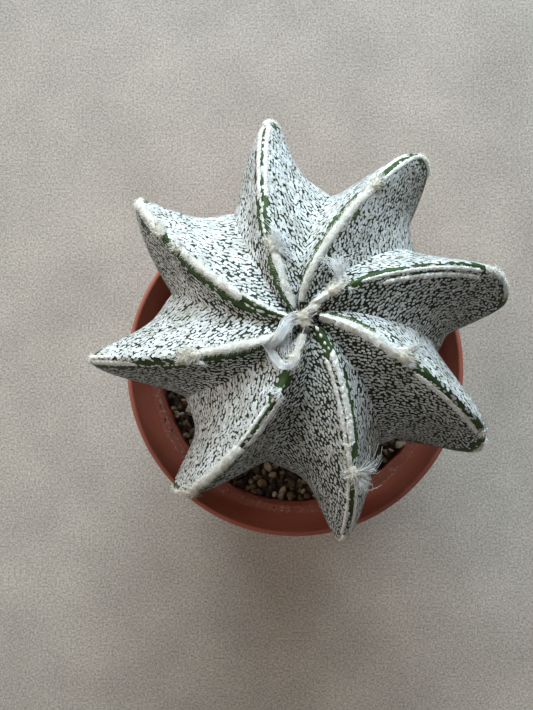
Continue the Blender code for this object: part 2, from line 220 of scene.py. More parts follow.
def pot_plastic():
    """Terracotta-coloured plastic, painted lighter than its own colour as painted light: slightly glossy and
    darker on the lip. Round the ledge it has painted shade in the corner and pale specks of dust.
    """
    finish = Finish("pot_plastic", 0.5, 0.3)
    # Painted light: the plastic's colour is drawn lighter than its own, for light on the walls and collar.
    colour = finish.ramp(finish.grain(45.0, 4.0), (0.3, (0.29, 0.070, 0.040)), (0.7, (0.36, 0.092, 0.054)))
    height = finish.height()
    lip = height.ranged(POT_HEIGHT - POT_WALL, POT_HEIGHT)
    colour = finish.mixed(lip * 0.6, colour, (0.20, 0.055, 0.036))
    flat = finish.step("ShaderNodeVectorMath", {0: finish.place, 1: (1.0, 1.0, 0.0)}, operation="MULTIPLY")
    radius = finish.step("ShaderNodeVectorMath", {0: flat}, "Value", operation="LENGTH")
    # Painted shade: the ledge's corner is drawn darker. The pale specks on it are dust.
    ledge = (height - LEDGE_SHADE_AND_DUST_MIDDLE).worked("ABSOLUTE").ranged(*LEDGE_SHADE_AND_DUST_REACH)
    ledge = ledge * radius.worked("LESS_THAN", LEDGE_SHADE_AND_DUST_RADIUS)
    colour = finish.mixed(ledge * 0.5, colour, (0.13, 0.04, 0.026))
    specks = finish.ramp(finish.grain(1100.0, 2.0), (0.56, 0.0), (0.64, 1.0))
    colour = finish.mixed(ledge * specks * 0.35, colour, (0.42, 0.34, 0.27))
    film = finish.ramp(finish.grain(160.0, 5.0), (0.45, 0.0), (0.75, 0.14))
    colour = finish.mixed(film, colour, (0.34, 0.2, 0.15))
    gloss = finish.grain(300.0, 4.0).ranged(0.0, 1.0, 0.42, 0.62)
    return finish.finished(colour, (finish.grain(900.0), 0.25, 0.05 * MM), gloss)


def rounded(points, size, steps=4):
    """An outline with each inner corner turned into a small arc."""
    outline = [points[0]]
    for before, corner, after in zip(points, points[1:], points[2:]):
        corner, before, after = Vector(corner), Vector(before), Vector(after)
        cut = min(size, (before - corner).length / 2.2, (after - corner).length / 2.2)
        start = corner + (before - corner).normalized() * cut
        end = corner + (after - corner).normalized() * cut
        for step in range(steps + 1):
            share = step / steps
            arc = start * (1 - share) ** 2 + corner * 2 * share * (1 - share) + end * share ** 2
            outline.append(tuple(arc))
    return outline + [points[-1]]


def plain_mesh(name, points, faces=(), edges=(), **values):
    """A mesh with named numbers or directions on its points."""
    mesh = bpy.data.meshes.new(name)
    mesh.from_pydata([tuple(point) for point in points], edges, faces)
    for title, numbers in values.items():
        numbers = np.asarray(numbers, dtype=float)
        kind, field = ("FLOAT_VECTOR", "vector") if numbers.size == 3 * len(points) else ("FLOAT", "value")
        mesh.attributes.new(title, kind, "POINT").data.foreach_set(field, numbers.ravel())
    return mesh


@contextmanager
def edited(mesh):
    """A mesh that is open for changes, and is written back after them."""
    shape = bmesh.new()
    shape.from_mesh(mesh)
    yield shape
    shape.to_mesh(mesh)
    shape.free()


def evaluated_mesh(item):
    """The item's mesh with its modifiers applied."""
    return bpy.data.meshes.new_from_object(item.evaluated_get(bpy.context.evaluated_depsgraph_get()))


def new_item(name, mesh, finish=None):
    """Link a mesh as one named object."""
    item = bpy.data.objects.new(name, mesh)
    bpy.context.scene.collection.objects.link(item)
    if finish:
        mesh.materials.clear()
        mesh.materials.append(finish)
    return item


def turned_item(name, outline, steps, finish):
    """Turn an outline of (radius, height) points about the pot's axis into a closed solid."""
    edges = [(index, index + 1) for index in range(len(outline) - 1)]
    points = [(radius, 0.0, height) for radius, height in outline]
    item = new_item(name, plain_mesh(name, points, edges=edges))
    screw = item.modifiers.new("Turn", "SCREW")
    screw.steps = steps
    screw.render_steps = steps
    screw.use_merge_vertices = True
    screw.merge_threshold = 0.01 * MM
    mesh = evaluated_mesh(item)
    bpy.data.objects.remove(item)
    return new_item(name, mesh, finish)


def face_outwards(item, sharp=38.0):
    """Make a closed mesh's faces point out, and shade it round with its sharp edges kept."""
    with edited(item.data) as shape:
        bmesh.ops.recalc_face_normals(shape, faces=shape.faces)
    item.data.shade_smooth()
    item.data.set_sharp_from_angle(angle=math.radians(sharp))


def wall_radius(height, offset=0.0):
    """Radius of the lower wall's outside at a height, moved inward by an offset."""
    return BASE_RADIUS + (BODY_TOP_RADIUS - BASE_RADIUS) * height / (POT_HEIGHT - COLLAR_HEIGHT) - offset


def pot_outline():
    """Outline of the pot from its floor up the inside, over the lip and down to the pad below."""
    foot = POT_HEIGHT - COLLAR_HEIGHT
    floor = FOOT_HEIGHT + FLOOR_THICKNESS
    slope = (POT_RADIUS - COLLAR_FOOT_RADIUS) / COLLAR_HEIGHT
    inside = [
        (0.0, floor),
        (wall_radius(floor, POT_WALL), floor),
        (wall_radius(foot, POT_WALL), LEDGE_HEIGHT),
        (COLLAR_FOOT_RADIUS - POT_WALL + slope * POT_WALL, LEDGE_HEIGHT),
        (POT_RADIUS - POT_WALL, POT_HEIGHT - POT_WALL / 2),
    ]
    lip = []
    for step in range(1, LIP_STEPS):
        turn = math.pi * step / LIP_STEPS
        centre = POT_RADIUS - POT_WALL / 2
        lip.append((centre - POT_WALL / 2 * math.cos(turn), POT_HEIGHT - POT_WALL / 2 * (1 - math.sin(turn))))
    outside = [
        (POT_RADIUS, POT_HEIGHT - POT_WALL / 2),
        (COLLAR_FOOT_RADIUS, foot),
        (wall_radius(foot), foot),
        (wall_radius(0.0), 0.0),
        (BASE_RADIUS - FOOT_WIDTH, 0.0),
        (BASE_RADIUS - FOOT_WIDTH - FOOT_DRAFT, FOOT_HEIGHT),
        (PAD_RADIUS + FOOT_DRAFT, FOOT_HEIGHT),
        (PAD_RADIUS, 0.0),
        (0.0, 0.0),
    ]
    return rounded(inside, INNER_CORNERS)[:-1] + [inside[-1]] + lip + rounded(outside, OUTER_CORNERS)


def cut_pot(pot):
    """Cut the drain holes through the floor and a notch through the foot ring beside every other one."""
    cutters = bpy.data.collections.new("pot_cutters")
    for index in range(DRAIN_HOLES):
        turn = Matrix.Rotation(2.0 * math.pi * index / DRAIN_HOLES, 4, "Z")
        mesh = bpy.data.meshes.new("pot_cutter")
        with edited(mesh) as shape:
            bmesh.ops.create_cone(shape, cap_ends=True, segments=32, radius1=DRAIN_RADIUS,
                                  radius2=DRAIN_RADIUS, depth=3.0 * FLOOR_THICKNESS)
            shape.transform(turn @ Matrix.Translation((DRAIN_CIRCLE, 0.0, FOOT_HEIGHT + FLOOR_THICKNESS / 2)))
            if index % 2:
                notch = bmesh.ops.create_cube(shape, size=1.0)["verts"]
                place = Matrix.Translation((BASE_RADIUS - FOOT_WIDTH / 2, 0.0, 0.0))
                place = turn @ place @ Matrix.Diagonal((*FOOT_NOTCH, 1.0))
                bmesh.ops.transform(shape, matrix=place, verts=notch)
        cutters.objects.link(bpy.data.objects.new("pot_cutter", mesh))
    bpy.context.scene.collection.children.link(cutters)
    cut = pot.modifiers.new("Holes", "BOOLEAN")
    cut.operand_type = "COLLECTION"
    cut.collection = cutters
    pot.data = evaluated_mesh(pot)
    pot.modifiers.clear()
    for cutter in list(cutters.objects):
        bpy.data.objects.remove(cutter)
    bpy.data.collections.remove(cutters)


pot = turned_item("pot_moulding", pot_outline(), POT_STEPS, pot_plastic())
face_outwards(pot)
cut_pot(pot)
face_outwards(pot)
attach(pot, "root")
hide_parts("pot")


# Growing mix: pumice, fired clay and dark grit, poured round the plant nearly up to the ledge. The bed
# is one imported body. Loose grains lie on it, and a few small ones have lodged on the pot's ledge.
MIX_LEVEL = 64.4 * MM
MIX_GAP = 0.3 * MM
MIX_CORNERS = 2.0 * MM
MIX_STEPS = 96
BED_SINK = 0.4
GRAIN_SIZE = 3.3 * MM
GRAIN_KINDS = 8
GRAIN_BREAKS = 7
GRAIN_LUMPS = 0.4
FULL_TURN = 6.28
PLANT_FOOT = Vector((1.0, 2.6, 65.0)) * MM
NECK_RADIUS = 22.0 * MM
PATCH_RINGS = 10
PATCH_STEPS = 72


class Maker(Nodes):
    """A geometry tree with named inputs: a number each, or a kind of block, and the finish."""

    def __init__(self, name, sizes):
        super().__init__(bpy.data.node_groups.new(name, "GeometryNodeTree"))
        self.add_socket("Geometry", "INPUT", "Geometry")
        for title, value in {**sizes, "Finish": "Material"}.items():
            kind = {float: "Float", int: "Int"}.get(type(value), value)
            socket = self.add_socket(title, "INPUT", kind)
            if kind != value:
                socket.default_value = value
        self.add_socket("Geometry", "OUTPUT", "Geometry")
        self.inputs = self.tree.nodes.new("NodeGroupInput").outputs
        self.outputs = self.tree.nodes.new("NodeGroupOutput").inputs

    def add_socket(self, title, side, kind):
        return self.tree.interface.new_socket(title, in_out=side, socket_type="NodeSocket" + kind)

    def given(self, name):
        return Reading(self, self.inputs[name])

    def mark(self, name, kind="FLOAT"):
        """A number or a direction that the mesh holds at each point."""
        return self.step("GeometryNodeInputNamedAttribute", {"Name": name}, "Attribute", data_type=kind)

    def drawn(self, low, high, seed=0, kind="FLOAT"):
        """A random value for each point or instance."""
        node = self.step("FunctionNodeRandomValue", data_type=kind).socket.node
        values = {"Min": low, "Max": high, "Seed": seed}
        for socket in node.inputs:
            if socket.enabled and socket.name in values:
                self.fill(socket, values[socket.name])
        return Reading(self, next(socket for socket in node.outputs if socket.enabled))

    def scattered(self, density, share):
        """Points on the surface, none closer together than the input Spacing."""
        return self.step("GeometryNodeDistributePointsOnFaces", {
            "Mesh": self.given("Geometry"), "Distance Min": self.given("Spacing"), "Density Max": density,
            "Density Factor": share, "Seed": self.given("Seed")}, distribute_method="POISSON")

    def strewn(self, points, turn, size):
        """One of the shapes in the input Kinds, drawn for each point."""
        kinds = self.step("GeometryNodeCollectionInfo", {
            "Collection": self.given("Kinds"), "Separate Children": True, "Reset Children": True})
        return self.step("GeometryNodeInstanceOnPoints", {
            "Points": points, "Instance": kinds, "Pick Instance": True,
            "Instance Index": self.drawn(0, 100, kind="INT"), "Rotation": turn, "Scale": size})

    def toned(self, pieces, tone):
        """Keep a tone for each shape, which its finish reads."""
        return self.step("GeometryNodeStoreNamedAttribute", {
            "Geometry": pieces, "Name": "tone", "Value": tone}, data_type="FLOAT", domain="INSTANCE")

    def finish(self, pieces):
        """End the tree: plain faces that bear the finish."""
        real = self.step("GeometryNodeRealizeInstances", {"Geometry": pieces})
        dressed = self.step("GeometryNodeSetMaterial", {"Geometry": real, "Material": self.given("Finish")})
        self.fill(self.outputs[0], dressed)

    def grown(self, mesh, sizes):
        """The plain mesh that the tree makes of a mesh, with its named inputs set."""
        item = new_item("growing", mesh)
        modifier = item.modifiers.new(self.tree.name, "NODES")
        modifier.node_group = self.tree
        names = {socket.name: socket.identifier for socket in self.tree.interface.items_tree
                 if socket.in_out == "INPUT"}
        for name, value in sizes.items():
            modifier[names[name]] = value
        result = evaluated_mesh(item)
        bpy.data.objects.remove(item)
        return result


def grit_finish():
    """Rough stone in the colours of pumice, clay, ochre and dark grit, one colour to a grain."""
    finish = Finish("grit", 0.9, 0.25)
    colour = finish.ramp(
        finish.mark("tone"),
        (0.0, (0.040, 0.032, 0.026)), (0.2, (0.075, 0.052, 0.036)), (0.4, (0.14, 0.088, 0.050)),
        (0.58, (0.22, 0.145, 0.080)), (0.74, (0.27, 0.21, 0.14)), (0.88, (0.40, 0.34, 0.27)),
        (1.0, (0.62, 0.58, 0.52)))
    stain = finish.ramp(finish.grain(700.0, 5.0), (0.35, (0.45, 0.42, 0.38)), (0.65, 1.0))
    colour = finish.mixed(0.8, colour, stain, "MULTIPLY")
    return finish.finished(colour, (finish.grain(2400.0, 4.0, 0.7), 0.7, 0.25 * MM))


def bed_finish():
    """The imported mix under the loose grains, dark and damp-looking."""
    finish = Finish("packed_mix", 0.95, 0.2)
    colour = finish.ramp(finish.grain(420.0, 5.0, 0.7), (0.35, (0.022, 0.015, 0.010)),
                         (0.55, (0.075, 0.048, 0.028)), (0.75, (0.2, 0.15, 0.1)))
    return finish.finished(colour, (finish.grain(500.0, 5.0, 0.7), 0.9, 0.8 * MM))


def bed_outline():
    """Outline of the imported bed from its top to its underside."""
    floor = FOOT_HEIGHT + FLOOR_THICKNESS + MIX_GAP
    gap = POT_WALL + MIX_GAP
    top = MIX_LEVEL - BED_SINK * GRAIN_SIZE
    return rounded([(0.0, top), (wall_radius(top, gap), top), (wall_radius(floor, gap), floor), (0.0, floor)],
                   MIX_CORNERS)


def scatter_tree():
    """Loose grains over a flat patch: turned every way, in random sizes and tones."""
    tree = Maker("Loose grains", {
        "Kinds": "Collection", "Spacing": 0.003, "Smallest": 0.7, "Largest": 1.3, "Share": 1.0, "Lift": 0.0,
        "Seed": 1})
    points = tree.scattered(1.2e6, tree.given("Share"))
    size = tree.drawn(0.0, 1.0, tree.given("Seed")) ** 1.7
    size = size.ranged(0.0, 1.0, tree.given("Smallest"), tree.given("Largest"))
    turn = tree.drawn((0.0, 0.0, 0.0), (FULL_TURN, FULL_TURN, FULL_TURN), kind="FLOAT_VECTOR")
    height = tree.drawn(-1.0, 1.0, 5) * tree.given("Lift")
    lifted = tree.step("GeometryNodeTranslateInstances", {
        "Instances": tree.strewn(points, turn, size),
        "Translation": tree.step("ShaderNodeCombineXYZ", {"Z": height}), "Local Space": False})
    tree.finish(tree.toned(lifted, tree.drawn(0.0, 1.0, 9)))
    return tree


def grain_kinds():
    """A few broken-stone shapes to pick from: lumpy pebbles with flats broken off."""
    kinds = bpy.data.collections.new("grain_kinds")
    for kind in range(GRAIN_KINDS):
        draw = random.Random(40 + kind)
        mesh = bpy.data.meshes.new("grain_kind")
        with edited(mesh) as shape:
            bmesh.ops.create_icosphere(shape, subdivisions=2, radius=GRAIN_SIZE / 2)
            squash = Vector((1.0, draw.uniform(0.72, 0.95), draw.uniform(0.6, 0.85)))
            shift = Vector((kind * 7.3, 1.1, 4.2))
            flats = [(Vector([draw.gauss(0, 1) for _ in range(3)]).normalized(), draw.uniform(0.55, 0.82))
                     for _ in range(GRAIN_BREAKS)]
            for vertex in shape.verts:
                way = vertex.co.normalized()
                reach = 1.0 + GRAIN_LUMPS * noise.noise(way * 1.8 + shift)
                for normal, limit in flats:
                    reach = min(reach, limit / max(way.dot(normal), 0.05))
                vertex.co = way * reach * GRAIN_SIZE / 2 * squash
        kinds.objects.link(bpy.data.objects.new(f"grain_kind_{kind}", mesh))
    return kinds


def sheet_faces(columns, rows):
    """Faces between the points of a sheet, by column and row."""
    return [(c * rows + r, c * rows + r + 1, (c + 1) * rows + r + 1, (c + 1) * rows + r)
            for c in range(columns - 1) for r in range(rows - 1)]


def patch(height, inner, outer, middle=(0.0, 0.0)):
    """A flat ring whose inner edge is round the plant and whose outer edge follows the pot."""
    points = []
    for ring in range(PATCH_RINGS + 1):
        share = ring / PATCH_RINGS
        for step in range(PATCH_STEPS):
            turn = 2 * math.pi * step / PATCH_STEPS
            x = (middle[0] + inner * math.cos(turn)) * (1 - share) + outer * math.cos(turn) * share
            y = (middle[1] + inner * math.sin(turn)) * (1 - share) + outer * math.sin(turn) * share
            points.append((x, y, height))
    faces = []
    for ring in range(PATCH_RINGS):
        for step in range(PATCH_STEPS):
            here = ring * PATCH_STEPS + step
            beside = ring * PATCH_STEPS + (step + 1) % PATCH_STEPS
            faces.append((here, here + PATCH_STEPS, beside + PATCH_STEPS, beside))
    return plain_mesh("patch", points, faces)


def joined(name, meshes, finish):
    """Several meshes as one item."""
    result = bpy.data.meshes.new(name)
    with edited(result) as shape:
        for mesh in meshes:
            shape.from_mesh(mesh)
    return new_item(name, result, finish)


bed = turned_item("mix_bed", bed_outline(), MIX_STEPS, bed_finish())
face_outwards(bed)
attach(bed, "root")
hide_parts("growing_mix")

grit = grit_finish()
kinds = grain_kinds()
scatter = scatter_tree()
around = (PLANT_FOOT.x, PLANT_FOOT.y)
wall = wall_radius(MIX_LEVEL, POT_WALL) - 0.45 * GRAIN_SIZE

# Close grains half sunk in the bed, looser and more uneven ones on them, and fine grit on the ledge.
layers = [
    (patch(MIX_LEVEL - 0.2 * GRAIN_SIZE, NECK_RADIUS, wall, around),
     {"Spacing": 0.66 * GRAIN_SIZE, "Smallest": 0.75, "Largest": 1.1, "Seed": 3}),
    (patch(MIX_LEVEL + 0.3 * GRAIN_SIZE, NECK_RADIUS + 0.6 * GRAIN_SIZE, wall, around),
     {"Spacing": 0.86 * GRAIN_SIZE, "Smallest": 0.6, "Largest": 1.5, "Lift": 0.2 * GRAIN_SIZE, "Seed": 8}),
    (patch(LEDGE_HEIGHT + 0.2 * MM, COLLAR_FOOT_RADIUS - 3.4 * MM, COLLAR_FOOT_RADIUS - 1.9 * MM),
     {"Spacing": 0.6 * MM, "Smallest": 0.06, "Largest": 0.36, "Share": 0.18, "Seed": 5}),
]
grains = joined("mix_grains", [
    scatter.grown(mesh, {"Kinds": kinds, "Finish": grit, **sizes}) for mesh, sizes in layers], grit)
grains.data.shade_flat()
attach(grains, "root")
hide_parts("growing_mix")


# Cactus: one body that grew as eight ribs turning round the crown, on a short neck in the mix. Its skin
# is dark green, with bare stripes along the crests. Lower down it turns to brown cork.
CREST_RADIUS = 59.4
CREST_RISE = 36.0
CREST_DROP = 47.0
VALLEY_RADIUS = 38.0
VALLEY_RISE = 33.0
VALLEY_DROP = 41.0
EQUATOR_HEIGHT = 52.0
FOOT_LATITUDE = -56.0
ROOT_LENGTH = 17.0
ROOT_ROUND = 6.0
NECK_SHARE = 0.75
LEAN_HEIGHT = 72.0
SHOULDER_LATITUDE = 60.0
CROWN_LATITUDE = 83.0
STEEPEST_LATITUDE = 87.0
FLANK_COLUMNS = 27
FLANK_ROWS = 150
CREST_COLUMNS_CLOSE = 1.7
BODY_SHARE = 0.9

# How full a flank is (a higher bow is thinner) on the side that the ribs turn to and on the other, and
# the latitudes between which each change of form comes in.
LEADING_BOW = 3.1
LEADING_TIP_BOW = 2.6
TRAILING_BOW = 2.6
LOWER_BOW = 0.5
HOLLOW_BOW = 2.5
HOLLOW_CREASE_LOSS = 0.9
BOW_LATITUDES = (30.0, 75.0)
LOWER_BOW_LATITUDES = (0.0, -30.0)
TIP_BOW_LATITUDES = (40.0, 0.0)
BLUNT_LATITUDES = (40.0, 5.0)
HOLLOW_LATITUDES = (22.0, -12.0)
HOOK_LATITUDES = (16.0, -4.0)
TUCK_LATITUDES = (2.0, -24.0)
FADE_LATITUDES = (FOOT_LATITUDE, -32.0)
DIP_LATITUDES = (72.0, 90.0)

# One row for each rib, clockwise from the top of the picture: the tip's direction, its reach as a
# share of the crest's radius, the crest's swing at the shoulder, beside the crown and under the
# equator, how full the tip's trailing side is, how hollow its leading side is below, by how many
# degrees its end is hooked, and how far the crest draws in under it.
Growth = namedtuple("Growth", "tip reach shoulder crown lower fullness hollow hook tuck")
RIBS = (
    Growth(98.5, 1.00, 11.0, 31.0, 12.0, 1.3, 0.6, 1.0, 0.15),
    Growth(54.5, 0.995, 12.5, 37.0, 9.0, 1.1, 0.4, 1.5, 0.2),
    Growth(10.8, 0.985, 15.0, 34.0, 5.0, 1.1, 0.5, 2.6, 0.38),
    Growth(-31.5, 1.01, 9.5, 29.0, 10.0, 0.9, 0.5, 2.5, 0.38),
    Growth(-79.5, 1.01, 12.5, 36.0, 3.0, 1.0, 0.7, 0.0, 0.30),
    Growth(-128.0, 0.98, 15.0, 32.0, 2.0, 0.9, 0.8, 1.0, 0.40),
    Growth(-172.0, 1.025, 10.0, 30.0, 18.0, 0.4, 0.7, 0.0, 0.25),
    Growth(-218.0, 0.995, 11.5, 30.0, 9.0, 1.3, 1.0, 1.0, 0.35),
)

# Stripes of each crest that bear no flecks: latitude from and to, millimetres from the crest line there
# (towards the next rib when positive), and width.
BARE = (
    ((86, 71, -0.8, -1.2, 1.5, 1.8), (67, 55, 0.25, 0.3, 1.2, 1.0), (66, 55, -1.8, -2.2, 1.0, 1.2),
     (55, 28, -0.3, -0.3, 0.5, 0.5), (60, 30, -2.5, -2.5, 0.5, 0.5), (30, 23, -0.4, -0.8, 2.0, 2.0),
     (4, -24, 1.6, 1.8, 2.6, 1.6), (19, -8, 1.8, 1.6, 1.6, 2.6)),
    ((84, 66, -1.7, -1.6, 1.0, 1.2), (66, 59, -1.6, -1.6, 1.6, 1.8), (60, 48, -1.9, -1.6, 2.4, 2.6),
     (60, 56, 1.7, 1.7, 1.4, 1.4), (44, 30, -0.6, -0.8, 2.0, 1.6), (30, 20, -0.4, -0.4, 0.9, 0.9),
     (6, -26, 1.6, 2.0, 3.0, 1.6), (17, -8, 1.8, 1.6, 1.6, 2.6)),
    ((77, 72, 1.0, 0.8, 1.7, 1.7), (72, 60, 0.95, 0.95, 0.85, 0.85), (60, 44, 1.7, 1.9, 0.5, 0.5),
     (76, 60, -0.5, -0.3, 0.85, 0.85), (60, 41, -0.1, -0.1, 0.6, 0.6), (41, 30, 0.2, 0.2, 1.5, 1.5),
     (8, -6, 0.9, 0.9, 1.6, 1.6), (-4, -26, 1.6, 1.8, 2.4, 1.6), (10, -8, 1.8, 1.7, 1.6, 2.4)),
    ((84, 69, -1.8, -2.0, 1.6, 2.0), (60, 52, 0.3, 0.2, 2.2, 1.4), (52, 30, 0.4, 1.0, 0.8, 0.8),
     (29, 20, 0.9, 0.5, 1.9, 1.9), (13, 8, 0.5, 0.5, 1.8, 1.8), (-3, -26, 1.5, 1.7, 2.2, 1.4),
     (10, -8, 1.8, 1.7, 1.6, 2.4)),
    ((86, 77, 0.0, 0.2, 2.6, 2.6), (79, 60, -1.9, -1.9, 0.7, 1.0), (60, 49, -1.5, -1.1, 1.6, 2.2),
     (57, 53, 1.2, 1.2, 1.6, 1.6), (41, 22, -0.15, -0.15, 1.0, 0.7), (41, 33, -1.9, -1.9, 1.0, 1.0),
     (-4, -30, 0.6, 0.6, 1.6, 1.6)),
    ((77, 71, 0.0, 0.0, 2.6, 2.6), (71, 66, 0.3, 0.3, 2.2, 2.2), (66, 50, 0.1, 0.1, 0.5, 0.5),
     (44, 26, -1.85, -1.95, 1.3, 1.7), (28, 8, -2.1, -2.0, 2.4, 2.2), (8, -6, 1.4, 1.4, 2.0, 2.0),
     (-5, -24, 1.4, 1.6, 2.0, 1.4)),
    ((77, 62, -1.8, -1.8, 1.4, 1.7), (62, 57, -2.4, -2.4, 1.2, 1.2), (57, 38, -1.3, -1.3, 1.7, 1.0),
     (56, 36, -3.2, -3.2, 0.7, 0.7), (32, 3, -2.8, -1.7, 0.8, 1.1), (-1, -26, 1.5, 1.8, 2.4, 1.6),
     (17, -8, 1.8, 1.6, 1.6, 2.6)),
    ((86, 73, -0.9, -1.4, 2.8, 2.8), (73, 52, -2.5, -2.2, 1.6, 2.0), (53, 43, -1.8, -0.8, 3.0, 2.6),
     (36, 20, -2.4, -2.4, 1.0, 1.0), (-1, -26, 1.5, 1.8, 2.4, 1.6), (17, -8, 1.8, 1.6, 1.6, 2.6)),
)

# A stripe's half width as a share of its width and what is added to it, how soft its sides are, how far
# they waver and how often to the metre, and how soft its ends are in degrees. Other lengths are in
# millimetres. Seen from above, a flank's points lie closer to the crest than they are: they count as at
# least this share of their real distance.
STRIPE_HALF = (0.56, 0.08)
STRIPE_EDGE = 0.3
STRIPE_WAVER = 0.6
WAVER_SCALE = 1000.0
STRIPE_END = 1.5
LEAST_DISTANCE_SHARE = 0.55
CORK_HEIGHTS = (88.0 * MM, 76.0 * MM)
CORK_WAVER = 12.0 * MM
SKIN_WELD = 0.004 * MM
SKIN_SLIVER = 0.002 * MM


def spread_at(latitude):
    """How far a line of steady slant has turned at a latitude."""
    tilt = math.radians(latitude)
    return math.log((1.0 + math.sin(tilt)) / math.cos(tilt))


def curl(rib):
    """How fast a crest's swing grows towards the crown."""
    growth = math.log(rib.crown / rib.shoulder)
    return growth / math.log(spread_at(CROWN_LATITUDE) / spread_at(SHOULDER_LATITUDE))


def flank_tree():
    """One flank of a rib as a sheet: from its crest to the valley, and from the crown to the root."""
    crest = {"tip": 0.0, "reach": 1.0, "shoulder": 11.0, "curl": 1.0, "lower": 10.0, "hook": 0.0}
    tree = Maker("Rib flank", {
        "Columns": FLANK_COLUMNS, "Rows": FLANK_ROWS,
        **{f"{whose} {name}": value for whose in ("Own", "Next") for name, value in crest.items()},
        "Bow": 2.6, "Tip bow gain": 0.0, "Crown bow": 1.5, "Crease": 0.32, "Hollow": 0.0, "Tuck": 0.0,
        "Bluntness": 0.09, "Tip bluntness": 0.07, "Foot ribs": 0.34, "Crown dip": 1.6, "Lean X": 1.9,
        "Lean Y": 8.6, "Lean height": LEAN_HEIGHT})
    given = tree.given

    grid = tree.step("GeometryNodeMeshGrid", {
        "Size X": 1.0, "Size Y": 1.0, "Vertices X": given("Columns"), "Vertices Y": given("Rows")})
    place = tree.step("ShaderNodeSeparateXYZ", {"Vector": tree.step("GeometryNodeInputPosition")})
    width = (place.output("X") + 0.5).least(0.0) ** CREST_COLUMNS_CLOSE
    down = (place.output("Y") + 0.5) / BODY_SHARE
    latitude = 90.0 - down.most(1.0) * (90.0 - FOOT_LATITUDE)
    tilt = latitude * math.radians(1.0)
    upper = tilt.least(0.0)
    lower = tilt.most(0.0)

    def spread(angle):
        return ((angle.worked("SINE") + 1.0) / angle.worked("COSINE")).worked("LOGARITHM", math.e)

    rise = spread(upper.most(math.radians(STEEPEST_LATITUDE)))
    fall = spread(lower * -1.0)

    def crest_angle(whose):
        swing = (rise / spread_at(SHOULDER_LATITUDE)) ** given(f"{whose} curl")
        turned = given(f"{whose} tip") + given(f"{whose} shoulder") * swing
        hooked = given(f"{whose} hook") * latitude.eased(*HOOK_LATITUDES)
        return turned - given(f"{whose} lower") * fall - hooked

    first = crest_angle("Own")
    second = crest_angle("Next")
    turn = (first + (second - first) * width * 0.5) * math.radians(1.0)
    reach = given("Own reach") + (given("Next reach") - given("Own reach")) * width * 0.5

    blunt = given("Bluntness") + given("Tip bluntness") * latitude.eased(*BLUNT_LATITUDES)
    away = ((width ** 2.0 + blunt ** 2.0) ** 0.5 - blunt) / ((blunt ** 2.0 + 1.0) ** 0.5 - blunt)
    near = (1.0 - away).least(0.0)
    hollow = latitude.eased(*HOLLOW_LATITUDES) * given("Hollow")
    crease = given("Crease") * (1.0 - hollow * HOLLOW_CREASE_LOSS)
    bow = latitude.eased(*BOW_LATITUDES, given("Bow"), given("Crown bow"))
    bow = bow + latitude.eased(*LOWER_BOW_LATITUDES, 0.0, LOWER_BOW) + hollow * HOLLOW_BOW
    bow = bow + given("Tip bow gain") * latitude.eased(*TIP_BOW_LATITUDES)
    fade = latitude.eased(*FADE_LATITUDES, given("Foot ribs"), 1.0)
    fade = fade * (1.0 - latitude.eased(*TUCK_LATITUDES) * given("Tuck"))
    share = fade * ((1.0 - crease) * near ** bow + crease * near)

    level = tilt.worked("COSINE")
    radius = level * (share * (CREST_RADIUS - VALLEY_RADIUS) + VALLEY_RADIUS)
    radius = radius * ((reach - 1.0) * level + 1.0)
    height = upper.worked("SINE") * (share * (CREST_RISE - VALLEY_RISE) + VALLEY_RISE)
    height = height + lower.worked("SINE") * (share * (CREST_DROP - VALLEY_DROP) + VALLEY_DROP)
    height = height + EQUATOR_HEIGHT - given("Crown dip") * latitude.eased(*DIP_LATITUDES) ** 2.0

    neck = (down - 1.0).least(0.0) * (BODY_SHARE / (1.0 - BODY_SHARE))
    shaft = (neck / NECK_SHARE).most(1.0)
    end = ((neck - NECK_SHARE) / (1.0 - NECK_SHARE)).least(0.0).most(1.0)
    radius = radius + (NECK_RADIUS / MM - radius) * shaft.eased(0.0, 0.6)
    radius = radius * (1.0 - end ** 2.0).least(0.0) ** 0.5
    height = height + ((-ROOT_LENGTH + ROOT_ROUND) - height) * shaft - end * ROOT_ROUND

    lean = height.eased(0.0, given("Lean height"))
    x = turn.worked("COSINE") * radius + given("Lean X") * lean + PLANT_FOOT.x / MM
    y = turn.worked("SINE") * radius + given("Lean Y") * lean + PLANT_FOOT.y / MM
    z = height + PLANT_FOOT.z / MM
    point = tree.step("ShaderNodeCombineXYZ", {"X": x * MM, "Y": y * MM, "Z": z * MM})
    tree.finish(tree.step("GeometryNodeSetPosition", {"Geometry": grid, "Position": point}))
    return tree


def flank_points(tree, index, side):
    """Points of one flank, by column from the crest and by row from the crown."""
    own = RIBS[index]
    beside = RIBS[(index + side) % len(RIBS)]
    beside = beside._replace(tip=beside.tip + 360.0 * round((own.tip - beside.tip) / 360.0))
    leading = side > 0
    sizes = {
        "Bow": LEADING_BOW if leading else TRAILING_BOW,
        "Tip bow gain": LEADING_TIP_BOW if leading else -own.fullness,
        "Hollow": own.hollow if leading else 0.0, "Tuck": own.tuck}
    for whose, rib in (("Own", own), ("Next", beside)):
        sizes[f"{whose} curl"] = curl(rib)
        for name in ("tip", "reach", "shoulder", "lower", "hook"):
            sizes[f"{whose} {name}"] = getattr(rib, name)
    mesh = tree.grown(bpy.data.meshes.new("flank"), sizes)
    points = np.zeros(len(mesh.vertices) * 3)
    mesh.vertices.foreach_get("co", points)
    bpy.data.meshes.remove(mesh)
    return points.reshape(FLANK_COLUMNS, FLANK_ROWS, 3)


def unit(directions, least=1e-12):
    """Directions of length one, and none where there is no length."""
    return directions / np.maximum(np.linalg.norm(directions, axis=-1, keepdims=True), least)


